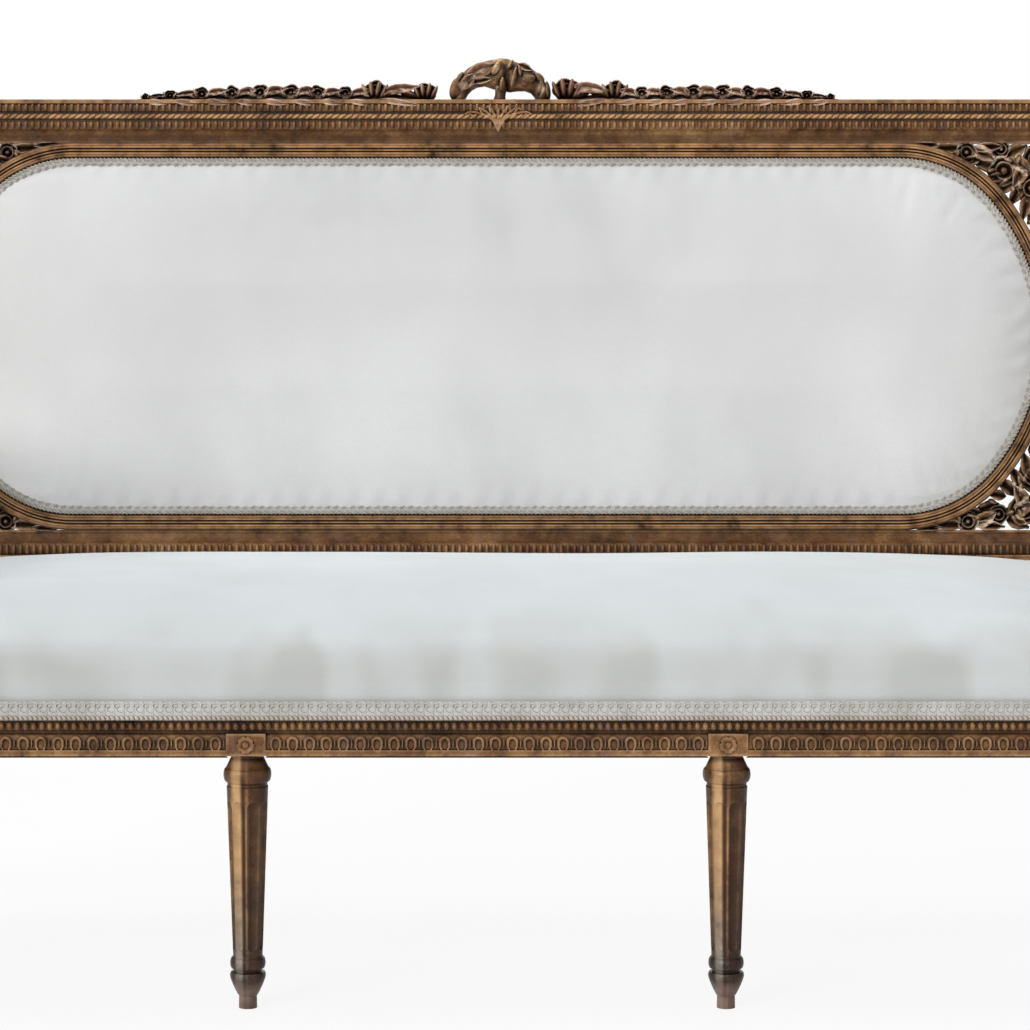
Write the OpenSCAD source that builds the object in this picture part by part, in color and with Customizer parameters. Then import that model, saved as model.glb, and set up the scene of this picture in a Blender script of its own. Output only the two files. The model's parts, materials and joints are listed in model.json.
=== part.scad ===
// Cabriole sofa with a moulded and carved wooden frame: an oblong oval back panel between
// pierced spandrels, a crest of a bow and rose garlands, padded open arms, a tight domed
// seat and turned, fluted front legs. Millimetres, Z up. The origin is on the floor under
// the middle of the sofa, X runs along it and the front looks towards -Y.

/* [Seat frame] */
// Side of an end leg's square head, and the diameter of every front leg's collar
leg_head = 56; // [50:1:62]
// Floor to the underside of the seat rails
leg_h = 300; // [270:5:330]
// Front rail face to the front of the rear posts, at seat height
seat_depth = 575; // [540:5:620]
// How much further out the front legs stand than the rear posts, on each side
side_splay = 52; // [36:1:64]
// Full height of the seat rails
rail_h = 72; // [68:1:78]
// Height of the moulded part of a seat rail, below the upholstery
rail_show_h = 42; // [38:1:46]
// Thickness of the front seat rail
front_rail_t = 45; // [42:1:50]
// Thickness of a side seat rail
side_rail_t = 34; // [32:1:38]
// Thickness of the rear seat rail
rear_rail_t = 30; // [27:1:32]
// Step back of the front and side rails behind the upholstery
rabbet_d = 10; // [9:0.5:12]
// Depth of the seat rails' moulding
seat_relief = 8; // [6:0.5:9]

/* [Back frame] */
// Half of the oval panel's straight run
oval_run = 550; // [500:5:600]
// Reach of the oval panel's round end past the straight run
oval_reach = 188; // [184:1:194]
// Half of the oval panel's height
oval_rise = 237.5; // [228:0.5:246]
// Radius of the oval panel's four tight arcs
oval_arc = 160; // [150:1:168]
// Width of the moulding round the oval panel
oval_mould_w = 21; // [18:0.5:24]
// Height of the back's top rail
top_rail_h = 57; // [52:1:62]
// Height of the back's lower rail
low_rail_h = 40; // [36:1:43]
// Width of a rear post
stile_w = 57; // [52:1:62]
// Thickness of the back frame
back_t = 34; // [32:1:38]
// Depth of the back rails' moulding
back_relief = 12; // [9:0.5:13]
// Height of the oval's centre, measured up the leaning back
oval_centre_h = 769; // [765:1:790]
// Lean of the back from upright, in degrees
rake = 4; // [3:0.5:5]

/* [Crest and spandrels] */
// Height of the bow above the top rail
bow_h = 56; // [48:1:62]
// Distance of the bow's centre from the middle of the back
crest_offset = 15; // [6:1:24]
// Height of the garland's tallest roses
garland_h = 27; // [22:1:30]
// Reach of the garland on each side of the middle of the back
garland_run = 490; // [465:1:510]
// Thickness of the carved work, front to back
carving_t = 14; // [10:1:16]

/* [Arms] */
// Height of the arm's flat top
arm_h = 672; // [660:1:690]
// Width of an arm
arm_w = 46; // [42:1:50]
// Radius of the scroll at the front of an arm
scroll_r = 27; // [24:1:30]
// Height of an arm pad
arm_pad_h = 30; // [24:1:36]

/* [Upholstery] */
// Height of the seat's crown above the rails
seat_crown_h = 126; // [118:1:132]
// How far the seat's front bulges past the front rail
front_bulge = 8; // [5:0.5:12]
// How far the middle of the back pad stands in front of the frame
back_crown = 26; // [20:1:32]
// How much higher the seat stands at the back than at the front
seat_tilt = 16; // [8:1:20]
// Height of the braid along the seat's lower edge
gimp_h = 24; // [18:1:26]

/* [Joinery] */
// Thickness of every tenon
tenon_t = 12; // [9:1:13]
// Length of every tenon
tenon_l = 24; // [20:1:25]
// Radius of the dowel turned on top of a middle leg
dowel_r = 11; // [8:0.5:12]
// Length of that dowel
dowel_l = 35; // [28:1:40]
// Radius of the spigots on an arm support
spigot_r = 9; // [7:0.5:10]
// Clearance in the joints
joint_gap = 0.2; // [0.1:0.05:0.3]
// Clearance between cloth or padding and what carries it
cloth_gap = 0.3; // [0.2:0.05:0.4]

/* [Hidden] */

// Colours as the piece shows them: worn gilding over brown, cloth, raw inner timber
gilt = "#9a7a58";
linen = "#dcdddc";
braid = "#e9e6dc";
raw_wood = "#b99b72";
jute = "#b8a47c";
steel = "#8d9093";
black_cloth = "#3b3a38";

// Every cut runs this far past the faces that it opens
overrun = 2;
// Facets of a turned round, which stays a true round
$fn = 64;
// Thicknesses of the braid, the hessian and the jute webbing
gimp_t = 2;
hessian_t = 1;
web_t = 1.4;

// Heights and places that everything follows
collar_r = leg_head / 2;
seat_z = leg_h + rail_h;
show_z = leg_h + rail_show_h;
oval_half_h = oval_rise + oval_mould_w;
oval_out_x = oval_run + oval_reach + oval_mould_w;
back_half = oval_out_x + stile_w;
top_z = oval_centre_h + oval_half_h;
rail_top_z = top_z + top_rail_h;
low_z = oval_centre_h - oval_half_h;
low_rail_z = low_z - low_rail_h;
end_leg_x = back_half + side_splay - collar_r;
mid_leg_x = end_leg_x / 3;
side_x = back_half + side_splay;
rear_extent = (rail_top_z - seat_z) * sin(rake) + back_t * cos(rake);
y_front = (front_bulge - seat_depth - rear_extent) / 2;
y_post = y_front + seat_depth;
leg_y = y_front + collar_r;
side_run = seat_depth - leg_head;
side_lean = atan2(side_splay, side_run);

// The back's own frame: y counts back from its front face, z up its slope
module in_back() translate([0, y_post, seat_z]) rotate([-rake, 0, 0]) translate([0, 0, -seat_z])
    children();

// The right-hand piece, mirrored for the left
module left() mirror([1, 0, 0]) children();

// Rows of a moulded or turned outline: depth, place along, swell of the stretch that follows
swell_steps = 8;
function moulded(rows) = [for (i = [0:len(rows) - 1])
    let (p = rows[i], q = rows[min(i + 1, len(rows) - 1)], steps = p[2] == 0 ? 1 : swell_steps)
    for (k = [0:steps - 1])
    let (a = 180 * k / steps, t = (1 - cos(a)) / 2)
    [p.x + (q.x - p.x) * t + p[2] * sin(a), p.y + (q.y - p.y) * t]];

// A turned piece from rows of shares of its radius and height
module turned(rows, r, h) rotate_extrude() polygon([for (p = moulded(rows)) [p.x * r, p.y * h]]);

// An outline in depth and height, drawn along X between two places
module along_x(x0, x1, outline) translate([x0, 0, 0]) rotate([90, 0, 90])
    linear_extrude(height = x1 - x0) polygon(outline);

// A tenon and its mortise: a block from a shoulder, grown by the joint's clearance
module block(low, high, grow = 0) translate(low - [grow, grow, grow])
    cube(high - low + 2 * [grow, grow, grow]);

// Front legs. Shares of the collar's radius and of the leg's height
flute_count = 8;
shaft_low_share = [0.618, 0.206];
shaft_top_share = [0.868, 0.87];
leg_shares = [[0, 0, 0], [0.385, 0, 0], [0.375, 0.048, 0.05], [0.745, 0.128, 0.02], [0.7, 0.142, 0],
    [0.58, 0.146, 0], [0.58, 0.152, 0], [0.65, 0.155, 0.09], [0.65, 0.2, 0],
    [shaft_low_share.x, shaft_low_share.y, 0], [shaft_top_share.x, shaft_top_share.y, 0],
    [0.835, 0.874, 0], [0.835, 0.884, 0], [0.88, 0.888, 0.11], [0.9, 0.942, 0],
    [0.68, 0.985, 0], [0.68, 1, 0], [0, 1, 0]];
// Places of a flute's ends up the leg, and its axis and radius as shares of the shaft's radius
flute_ends_share = [0.222, 0.825];
flute_axis_share = 1.3;
flute_r_share = 0.5;
flute_slope = collar_r * (shaft_top_share.x - shaft_low_share.x)
    / (leg_h * (shaft_top_share.y - shaft_low_share.y));
flute_apex = leg_h * shaft_low_share.y - collar_r * shaft_low_share.x / flute_slope;
flute_tilt = atan(flute_axis_share * flute_slope);

function flute_end(s, up) = let (r = s * flute_slope * flute_r_share)
    [for (k = [0:6]) let (a = 90 * (up ? k : 6 - k) / 6)
        [r * sin(a), s + (up ? 1 : -1) * r * (1 - cos(a))]];

module leg_flutes() {
    from = (flute_ends_share[0] * leg_h - flute_apex) / cos(flute_tilt);
    to = (flute_ends_share[1] * leg_h - flute_apex) / cos(flute_tilt);
    for (i = [0:flute_count - 1])
        rotate([0, 0, (i + 0.5) * 360 / flute_count]) translate([0, 0, flute_apex])
            rotate([0, flute_tilt, 0]) rotate_extrude()
                polygon(concat(flute_end(from, true), flute_end(to, false)));
}

// A leg may run on a little way into a square head that stands on it
function leg_rows(into) = let (n = len(leg_shares), top = leg_shares[n - 2], up = 1 + into / leg_h)
    into == 0 ? leg_shares
    : concat([for (i = [0:n - 2]) leg_shares[i]], [[top.x, up, 0], [0, up, 0]]);

module turned_leg(into = 0) difference() {
    turned(leg_rows(into), collar_r, leg_h);
    leg_flutes();
}

// A carved rosette facing the front: it stands on y = 0, and its root runs into the wood
rosette_shares = [[0, 0, 0], [1, 0, 0], [1, 0.4, 0], [0.86, 0.8, 0], [0.7, 0.8, 0],
    [0.42, 0.42, 0], [0.34, 0.45, 0], [0.3, 0.85, 0], [0.18, 1, 0], [0, 1, 0]];
petal_count = 5;
petal_notch_share = 0.17;

module rosette(r, t, root = 0) rotate([90, 0, 0]) difference() {
    turned([for (i = [0:len(rosette_shares) - 1]) let (p = rosette_shares[i])
        i < 2 ? [p.x, -root / t, 0] : p], r, t);
    for (i = [0:petal_count - 1]) rotate([0, 0, 90 + i * 360 / petal_count])
        translate([r, 0, -root - overrun])
            cylinder(r = r * petal_notch_share, h = root + t + 2 * overrun);
}

// A sunk square with a rosette, cut in a face that looks to the front: depth and border
panel_sink = 3;
panel_border_share = 0.16;
panel_rosette_share = 0.4;

module panel_sinking(w, h) {
    border = w * panel_border_share;
    block([border - w / 2, -overrun, border - h / 2], [w / 2 - border, panel_sink, h / 2 - border]);
}

module panel_rosette(w) translate([0, panel_sink, 0])
    rosette(w * panel_rosette_share * (1 - panel_border_share), panel_sink, overrun);

// Tenon places of the seat rails, kept below the arm supports' spigots
rail_low_share = 0.14;
tenon_z = leg_h + rail_h * rail_low_share;
tenon_h = rail_h * 0.38;
spigot_l = rail_h - (tenon_z - leg_h) - tenon_h - rail_h * 0.1;
front_tenon_y = y_front + front_rail_t / 2;
rear_tenon_y = y_post + rear_rail_t / 2;
front_side_tenon_x = side_x - side_rail_t / 2;
rear_side_tenon_x = back_half - side_rail_t / 2;

module front_tenon(grow = 0) block([end_leg_x - collar_r - overrun, front_tenon_y - tenon_t / 2, tenon_z],
    [end_leg_x - collar_r + tenon_l, front_tenon_y + tenon_t / 2, tenon_z + tenon_h], grow);

module rear_tenon(grow = 0) block([oval_out_x - overrun, rear_tenon_y - tenon_t / 2, tenon_z],
    [oval_out_x + tenon_l, rear_tenon_y + tenon_t / 2, tenon_z + tenon_h], grow);

module side_front_tenon(grow = 0) block(
    [front_side_tenon_x - tenon_t / 2, y_front + leg_head - tenon_l, tenon_z],
    [front_side_tenon_x + tenon_t / 2, y_front + leg_head + overrun, tenon_z + tenon_h], grow);

module side_rear_tenon(grow = 0) block(
    [rear_side_tenon_x - tenon_t / 2, y_post - overrun, tenon_z],
    [rear_side_tenon_x + tenon_t / 2, y_post + tenon_l, tenon_z + tenon_h], grow);

// Front and side seat rails. Shares of the moulding's depth and of the show height
seat_mould_shares = [[0, 0, 0], [0, 0.167, 0], [0.25, 0.175, -0.1], [0.62, 0.57, 0],
    [1, 0.62, 0], [1, 0.69, 0], [0.62, 0.71, -0.18], [0.62, 0.95, 0], [0.35, 0.955, 0], [0.35, 1, 0]];
dado_w = leg_head * 0.82;
dado_h = rail_show_h * seat_mould_shares[4].y;

function seat_rail_outline(t) = concat(
    [for (p = moulded(seat_mould_shares)) [p.x * seat_relief, leg_h + p.y * rail_show_h]],
    [[rabbet_d, show_z], [rabbet_d, seat_z], [t, seat_z], [t, leg_h]]);

module leg_dowel(grow = 0) translate([mid_leg_x, leg_y, leg_h - overrun])
    cylinder(r = dowel_r + grow, h = dowel_l + overrun + grow);

module front_rail() color(gilt) {
    rail_end = end_leg_x - collar_r;
    difference() {
        union() {
            translate([0, y_front, 0]) along_x(-rail_end, rail_end, seat_rail_outline(front_rail_t));
            for (x = [-mid_leg_x, mid_leg_x]) translate([x, y_front, leg_h])
                block([-dado_w / 2, 0, 0], [dado_w / 2, rabbet_d, dado_h]);
            front_tenon();
            left() front_tenon();
        }
        leg_dowel(joint_gap);
        left() leg_dowel(joint_gap);
        strut_tenons(joint_gap);
        screws(joint_gap);
    }
    for (x = [-mid_leg_x, mid_leg_x]) translate([x, y_front, leg_h + dado_h / 2])
        rosette(dado_h * panel_rosette_share, panel_sink, overrun);
}

module side_rail() color(gilt) difference() {
    union() {
        intersection() {
            translate([side_x, y_front + leg_head, 0]) rotate([0, 0, 90 + side_lean])
                along_x(-leg_head, side_run + leg_head, seat_rail_outline(side_rail_t));
            block([0, y_front + leg_head, 0], [side_x + leg_head, y_post, seat_z + leg_head]);
        }
        side_front_tenon();
        side_rear_tenon();
    }
    screws(joint_gap);
}

module rear_rail() color(raw_wood) difference() {
    union() {
        block([-oval_out_x, y_post, leg_h], [oval_out_x, y_post + rear_rail_t, seat_z]);
        rear_tenon();
        left() rear_tenon();
    }
    strut_tenons(joint_gap);
    screws(joint_gap);
}

module mid_leg() color(gilt) {
    translate([mid_leg_x, leg_y, 0]) turned_leg();
    leg_dowel();
}

module front_leg() color(gilt) difference() {
    union() {
        translate([end_leg_x, leg_y, 0]) turned_leg(overrun);
        difference() {
            block([end_leg_x - collar_r, y_front, leg_h], [side_x, y_front + leg_head, seat_z]);
            translate([end_leg_x, y_front, (leg_h + seat_z) / 2]) panel_sinking(leg_head, rail_h);
            translate([side_x, leg_y, (leg_h + seat_z) / 2]) rotate([0, 0, 90])
                panel_sinking(leg_head, rail_h);
        }
        translate([end_leg_x, y_front, (leg_h + seat_z) / 2]) panel_rosette(leg_head);
        translate([side_x, leg_y, (leg_h + seat_z) / 2]) rotate([0, 0, 90]) panel_rosette(leg_head);
    }
    front_tenon(joint_gap);
    side_front_tenon(joint_gap);
    translate([end_leg_x, leg_y, 0]) support_spigot(joint_gap);
}

// Rear posts: a splayed foot below the seat and a leaning stile above it
foot_depth_share = 0.92;
stile_panel_shares = [[0, 0.14, 0], [1, 0.18, 0], [1, 0.3, -0.8], [1, 0.7, 0], [1, 0.82, 0], [0, 0.86, 0]];
stile_sink = back_relief / 2;
stile_tenon_h = low_rail_h * 0.6;

module rail_tenon(z, grow = 0) in_back()
    block([oval_out_x - overrun, (back_t - tenon_t) / 2, z - stile_tenon_h / 2],
        [oval_out_x + tenon_l, (back_t + tenon_t) / 2, z + stile_tenon_h / 2], grow);

module top_tenon(grow = 0) rail_tenon(rail_top_z - top_rail_h / 2, grow);

module low_tenon(grow = 0) rail_tenon(low_rail_z + low_rail_h / 2, grow);

module rear_post() color(gilt) difference() {
    union() {
        difference() {
            along_x(oval_out_x, back_half, post_outline());
            in_back() translate([oval_out_x, 0, stile_panel_z]) linear_extrude(height = stile_panel_h)
                polygon(concat([[stile_w * stile_panel_shares[0].y, -overrun]],
                    [for (p = moulded(stile_panel_shares)) [p.y * stile_w, p.x * stile_sink]],
                    [[stile_w * (1 - stile_panel_shares[0].y), -overrun]]));
            in_back() translate([oval_out_x + stile_w / 2, 0, rail_top_z - top_rail_h / 2])
                panel_sinking(stile_w, top_rail_h);
        }
        in_back() translate([oval_out_x + stile_w / 2, 0, rail_top_z - top_rail_h / 2])
            panel_rosette(min(stile_w, top_rail_h));
    }
    rear_tenon(joint_gap);
    side_rear_tenon(joint_gap);
    top_tenon(joint_gap);
    low_tenon(joint_gap);
    arm_tenon(joint_gap);
}

stile_panel_z = arm_h + arm_pad_h * 3;
stile_panel_h = top_z - stile_panel_z - stile_w / 4;

function post_outline() = let (up = rail_top_z - seat_z, c = cos(rake), s = sin(rake))
    [[y_post, leg_h], [y_post, seat_z], [y_post + up * s, seat_z + up * c],
    [y_post + up * s + back_t * c, seat_z + up * c - back_t * s],
    [y_post + back_t * c, seat_z - back_t * s], [y_post + back_t * 1.08, leg_h],
    [y_post + rear_extent, 0], [y_post + rear_extent - back_t * foot_depth_share, 0]];

// Top and lower rails of the back. Shares of the moulding's depth and of the rail's height
top_mould_shares = [[0.15, 0, 0], [0.15, 0.09, 0], [0.4, 0.1, -0.16], [0.4, 0.285, 0],
    [0.5, 0.29, 0], [0.5, 0.335, 0], [0.32, 0.34, -0.14], [0.32, 0.45, 0],
    [0.5, 0.455, 0], [0.5, 0.5, 0], [0.46, 0.505, -0.16], [0.46, 0.695, 0],
    [0.5, 0.7, 0.3], [1, 0.95, 0], [1, 1, 0]];
low_mould_shares = [[0.15, 0, 0], [0.15, 0.18, 0], [0.45, 0.19, -0.14], [0.45, 0.56, 0],
    [0.5, 0.57, 0.3], [1, 0.93, 0], [1, 1, 0]];

module top_rail() color(gilt) {
    in_back() along_x(-oval_out_x, oval_out_x, concat(
        [for (p = moulded(top_mould_shares)) [p.x * back_relief, rail_top_z - p.y * top_rail_h]],
        [[back_t, top_z], [back_t, rail_top_z]]));
    top_tenon();
    left() top_tenon();
}

module lower_rail() color(gilt) {
    in_back() along_x(-oval_out_x, oval_out_x, concat(
        [for (p = moulded(low_mould_shares)) [p.x * back_relief, low_rail_z + p.y * low_rail_h]],
        [[back_t, low_z], [back_t, low_rail_z]]));
    low_tenon();
    left() low_tenon();
}

// Moulding round the oval panel: two reeds and a flat, over a ledge that takes the tacks.
// Shares of the frame's thickness and of the moulding's width, from the inner edge outwards
oval_mould_shares = [[0.19, 0, -0.1], [0.19, 0.31, 0], [0.25, 0.32, 0], [0.25, 0.7, 0],
    [0.19, 0.71, -0.08], [0.19, 0.93, 0], [0.27, 0.94, 0], [0.27, 1, 0]];
ledge_w = oval_mould_w * 0.7;
ledge_front = back_t * 0.3;
ledge_back = back_t * 0.76;
side_arc = (pow(oval_reach, 2) + pow(oval_rise - oval_arc, 2) - pow(oval_arc, 2))
    / (2 * (oval_reach - oval_arc));
side_arc_x = oval_run + oval_reach - side_arc;
arc_turn = atan2(oval_rise - oval_arc, oval_run - side_arc_x);

function oval_outline(r, side) = [for (p = concat(
    [for (m = moulded(oval_mould_shares)) [m.y * oval_mould_w, m.x * back_t]],
    [[oval_mould_w, back_t], [0, back_t], [0, ledge_back], [-ledge_w, ledge_back],
    [-ledge_w, ledge_front], [0, ledge_front]])) [r + p.x, side * p.y]];

module oval_straight() in_back() translate([0, 0, oval_centre_h])
    along_x(-oval_run, oval_run, [for (p = oval_outline(oval_rise, 1)) [p.y, p.x]]);

module arc_sector(x, z, from, turn, outline) translate([x, 0, oval_centre_h + z]) rotate([90, 0, 0])
    rotate_extrude(start = from, angle = turn) polygon(outline);

// A round end is coopered from three lengths, with a glue line at each of their two seams
seam_turn = atan(joint_gap / oval_arc);

module oval_end() color(gilt) in_back() {
    rise = oval_rise - oval_arc;
    tight_turn = 90 - arc_turn - seam_turn;
    arc_sector(oval_run, rise, 90 - tight_turn, tight_turn, oval_outline(oval_arc, -1));
    arc_sector(side_arc_x, 0, -arc_turn, 2 * arc_turn, oval_outline(side_arc, -1));
    arc_sector(oval_run, -rise, -90, tight_turn, oval_outline(oval_arc, -1));
}

module oval_moulding_top() color(gilt) oval_straight();

module oval_moulding_bottom() color(gilt) in_back() translate([0, 0, oval_centre_h])
    mirror([0, 0, 1]) along_x(-oval_run, oval_run, [for (p = oval_outline(oval_rise, 1)) [p.y, p.x]]);

// Pierced spandrels, drawn from the corner of the back frame outwards. Rosettes and leaves
// are shares of the spandrel's reach along the rail: across, up, and radius or lean, length, width
spandrel_reach = oval_reach + oval_mould_w;
rose_shares = [[0.555, 0.062, 0.062], [0.33, 0.172, 0.096], [0.134, 0.143, 0.115],
    [0.115, 0.4, 0.096], [0.072, 0.612, 0.062]];
leaf_shares = [[0.7, 0.043, 4, 0.3, 0.075], [0.45, 0.12, 154, 0.19, 0.07],
    [0.235, 0.16, 0, 0.16, 0.09], [0.12, 0.275, 90, 0.18, 0.09], [0.09, 0.51, 90, 0.17, 0.07],
    [0.045, 0.76, 93, 0.3, 0.06], [0.25, 0.285, 45, 0.22, 0.08], [0.42, 0.05, 172, 0.2, 0.06],
    [0.04, 0.5, 84, 0.2, 0.05], [0.22, 0.06, 12, 0.2, 0.07]];
spandrel_back = back_t * 0.65;

// A pointed leaf between two arcs, lying along X
leaf_steps = 6;
module leaf(length, width, t) rotate([90, 0, 0]) linear_extrude(height = t) polygon(concat(
    [for (k = [0:leaf_steps]) [length * (k / leaf_steps - 0.5), sin(180 * k / leaf_steps) * width / 2]],
    [for (k = [leaf_steps - 1:-1:1])
        [length * (k / leaf_steps - 0.5), -sin(180 * k / leaf_steps) * width / 2]]));

module spandrel() color(gilt) difference() {
    intersection() {
        union() {
            for (p = rose_shares) translate([p[0], 0, p[1]] * spandrel_reach)
                rosette(p[2] * spandrel_reach, carving_t);
            for (p = leaf_shares) translate([p[0], 0, p[1]] * spandrel_reach)
                rotate([0, -p[2], 0])
                    leaf(p[3] * spandrel_reach, p[4] * spandrel_reach, carving_t * 0.6);
        }
        block([0, -carving_t - overrun, 0], [oval_half_h, overrun, oval_half_h]);
    }
    spandrel_trim(spandrel_reach, oval_arc + oval_mould_w, oval_arc, 0, 360);
    spandrel_trim(side_arc + oval_mould_w, oval_half_h, side_arc, 180 - arc_turn, 2 * arc_turn);
}

// The round edge that a spandrel follows, cleared from the moulding
module spandrel_trim(x, z, r, from, turn) translate([x, overrun, z]) rotate([90, 0, 0])
    rotate_extrude(start = from, angle = turn)
        square([r + oval_mould_w + joint_gap, carving_t + 2 * overrun]);

module spandrel_bottom_left() in_back() translate([-oval_out_x, spandrel_back, low_z]) spandrel();

module spandrel_top_left() in_back() translate([-oval_out_x, spandrel_back, top_z])
    mirror([0, 0, 1]) spandrel();

// Crest: the bow is an arch with two open loops beside a knot, standing on the top rail
bow_drop_share = 0.26;
bow_r = bow_h / (1 - bow_drop_share * 0.8);
bow_drop = bow_r - bow_h;
bow_hole_share = 0.82;
knot_w = bow_h * 0.3;
crest_front = back_t * 0.2;
crest_t = back_t * 0.6;

module on_rail() in_back() translate([crest_offset, crest_front + crest_t, rail_top_z]) children();

module above_rail(reach, h) intersection() {
    union() children();
    block([-reach, -back_t, 0], [reach, back_t, h]);
}

module crest_bow() color(gilt) on_rail() {
    above_rail(bow_r + overrun, bow_h + overrun) difference() {
        translate([0, 0, -bow_drop]) rotate([90, 0, 0]) cylinder(r = bow_r, h = crest_t);
        translate([0, overrun, bow_h * 0.38 - bow_r * bow_hole_share]) rotate([90, 0, 0])
            cylinder(r = bow_r * bow_hole_share, h = crest_t + 2 * overrun);
    }
    block([-knot_w / 2, -crest_t, 0], [knot_w / 2, 0, bow_h * 0.7]);
    translate([0, -crest_t + overrun, bow_h * 0.62]) rosette(bow_h * 0.22, overrun + crest_front * 0.6);
}

// The lobed leaf carved over the rail's face under the bow
fan_lobes = 5;
fan_turn = 34;
fan_steps = 6;
fan_h = top_rail_h * 0.8;
fan_t = back_relief * 0.4;
fan_notch_share = 0.22;
function fan_r(a) = fan_h * (1 - fan_notch_share * (1 - abs(cos(180 * a / fan_turn))));

module crest_leaf() color(gilt) in_back()
    translate([crest_offset, top_mould_shares[0].x * back_relief, rail_top_z]) rotate([90, 0, 0])
    linear_extrude(height = fan_t) polygon(concat([[-fan_h / 4, 0]],
        [for (k = [0:fan_lobes * fan_steps]) let (a = fan_turn * (k / fan_steps - fan_lobes / 2))
            [fan_r(a) * sin(a), -fan_r(a) * cos(a)]],
        [[fan_h / 4, 0]]));

// Garlands: places along the run and heights, as shares of the run and the tallest rose
rose_place_shares = [0.193, 0.328, 0.405, 0.477, 0.55, 0.632, 0.705, 0.785, 0.87, 0.936];
rose_height_shares = [1, 1, 0.62, 0.72, 0.8, 0.76, 0.7, 0.68, 0.55, 0.35];
stem_h = garland_h * 0.16;

module crest_garland(side) color(gilt) on_rail() {
    run = garland_run - side * crest_offset;
    intersection() {
        union() {
            for (i = [0:len(rose_place_shares) - 1]) {
                h = rose_height_shares[i] * garland_h;
                translate([side * rose_place_shares[i] * run, 0, h * 0.38])
                    rosette(h * 0.62, crest_t * 0.8);
            }
            for (i = [0:len(rose_place_shares) - 2]) {
                x = (rose_place_shares[i] + rose_place_shares[i + 1]) / 2 * run;
                gap = (rose_place_shares[i + 1] - rose_place_shares[i]) * run;
                translate([side * x, 0, stem_h]) leaf(gap * 1.2, stem_h * 3, crest_t * 0.5);
            }
        }
        block([-run, -back_t, 0], [run, back_t, garland_h + overrun]);
    }
    from = bow_r * 0.98;
    block([side > 0 ? from : -run, -crest_t * 0.6, 0],
        [side > 0 ? run : -from, 0, stem_h]);
}

// Arms: a scrolled rail on a turned support in front, tenoned into the post behind.
// The arm's own frame: x across, y from the support's axis to the back, z up
arm_y = (arm_h - seat_z) * tan(rake);
arm_run = y_post + arm_y - leg_y;
arm_shift = end_leg_x - oval_out_x - stile_w / 2;
arm_turn = atan2(arm_shift, arm_run);
arm_len = norm([arm_run, arm_shift]);
arm_under = scroll_r * 1.63;
support_h = arm_h - arm_under - seat_z;
arm_tenon_h = scroll_r * 0.9;
scroll_z = arm_h - scroll_r * 0.63;
pad_from = arm_len * 0.17;
pad_to = arm_len * 0.66;
// Underside and top of the arm: shares of its length, and of the scroll's radius from its flat top
arm_under_shares = [[0, -1.63], [0.04, -1.63], [0.07, -1.5], [0.12, -1.25], [0.2, -1.1],
    [0.4, -1.05], [0.7, -1.05], [0.85, -1], [1.05, -0.8]];
arm_top_shares = [[1.05, 0.75], [0.93, 0.45], [0.83, 0.2], [0.74, 0.04], [0.68, 0], [0.14, 0],
    [0.09, 0.06], [0.05, 0.22], [0, 0.36]];

module in_arm() translate([end_leg_x, leg_y, 0]) rotate([0, 0, arm_turn]) children();

module arm_tenon(grow = 0) in_back() {
    z = arm_h - scroll_r * 0.4;
    block([oval_out_x + (stile_w - tenon_t) / 2, -overrun, z - arm_tenon_h / 2],
        [oval_out_x + (stile_w + tenon_t) / 2, tenon_l, z + arm_tenon_h / 2], grow);
}

module support_spigot(grow = 0) translate([0, 0, seat_z - spigot_l - grow])
    cylinder(r = spigot_r + grow, h = spigot_l + overrun + grow);

module arm_spigot(grow = 0) translate([0, 0, arm_h - arm_under - overrun])
    cylinder(r = spigot_r + grow, h = scroll_r * 0.7 + overrun + grow);

module arm() color(gilt) {
    difference() {
        in_arm() difference() {
            union() {
                translate([-arm_w / 2, 0, 0]) rotate([90, 0, 90]) linear_extrude(height = arm_w)
                    polygon([for (p = concat(arm_under_shares, arm_top_shares))
                        [p.x * arm_len, arm_h + p.y * scroll_r]]);
                translate([-arm_w / 2, 0, scroll_z]) rotate([0, 90, 0]) cylinder(r = scroll_r, h = arm_w);
            }
            arm_spigot(joint_gap);
            for (x = [-1, 1]) translate([x * (arm_w / 2 + overrun), 0, scroll_z])
                rotate([0, -x * 90, 0]) scroll_eye();
        }
        in_back() block([0, 0, seat_z], [side_x * 2, arm_len, rail_top_z]);
    }
    arm_tenon();
}

// The sunk ring round the eye of the scroll
module scroll_eye() difference() {
    cylinder(r = scroll_r * 0.78, h = 2 * overrun);
    translate([0, 0, -overrun]) cylinder(r = scroll_r * 0.36, h = 4 * overrun);
}

support_r = collar_r * 0.86;
support_shares = [[0, 0, 0], [0.95, 0, 0.05], [0.95, 0.08, 0], [0.62, 0.1, -0.06], [0.58, 0.17, 0.3],
    [0.56, 0.66, 0], [0.5, 0.7, 0], [0.72, 0.715, 0.1], [0.72, 0.765, 0], [0.5, 0.78, -0.04],
    [0.62, 0.9, 0], [0.94, 0.915, 0.06], [0.94, 0.97, 0], [1, 0.975, 0], [1, 1, 0], [0, 1, 0]];

module arm_support() color(gilt) translate([end_leg_x, leg_y, 0]) {
    translate([0, 0, seat_z]) turned(support_shares, support_r, support_h);
    support_spigot();
    arm_spigot();
}

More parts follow.
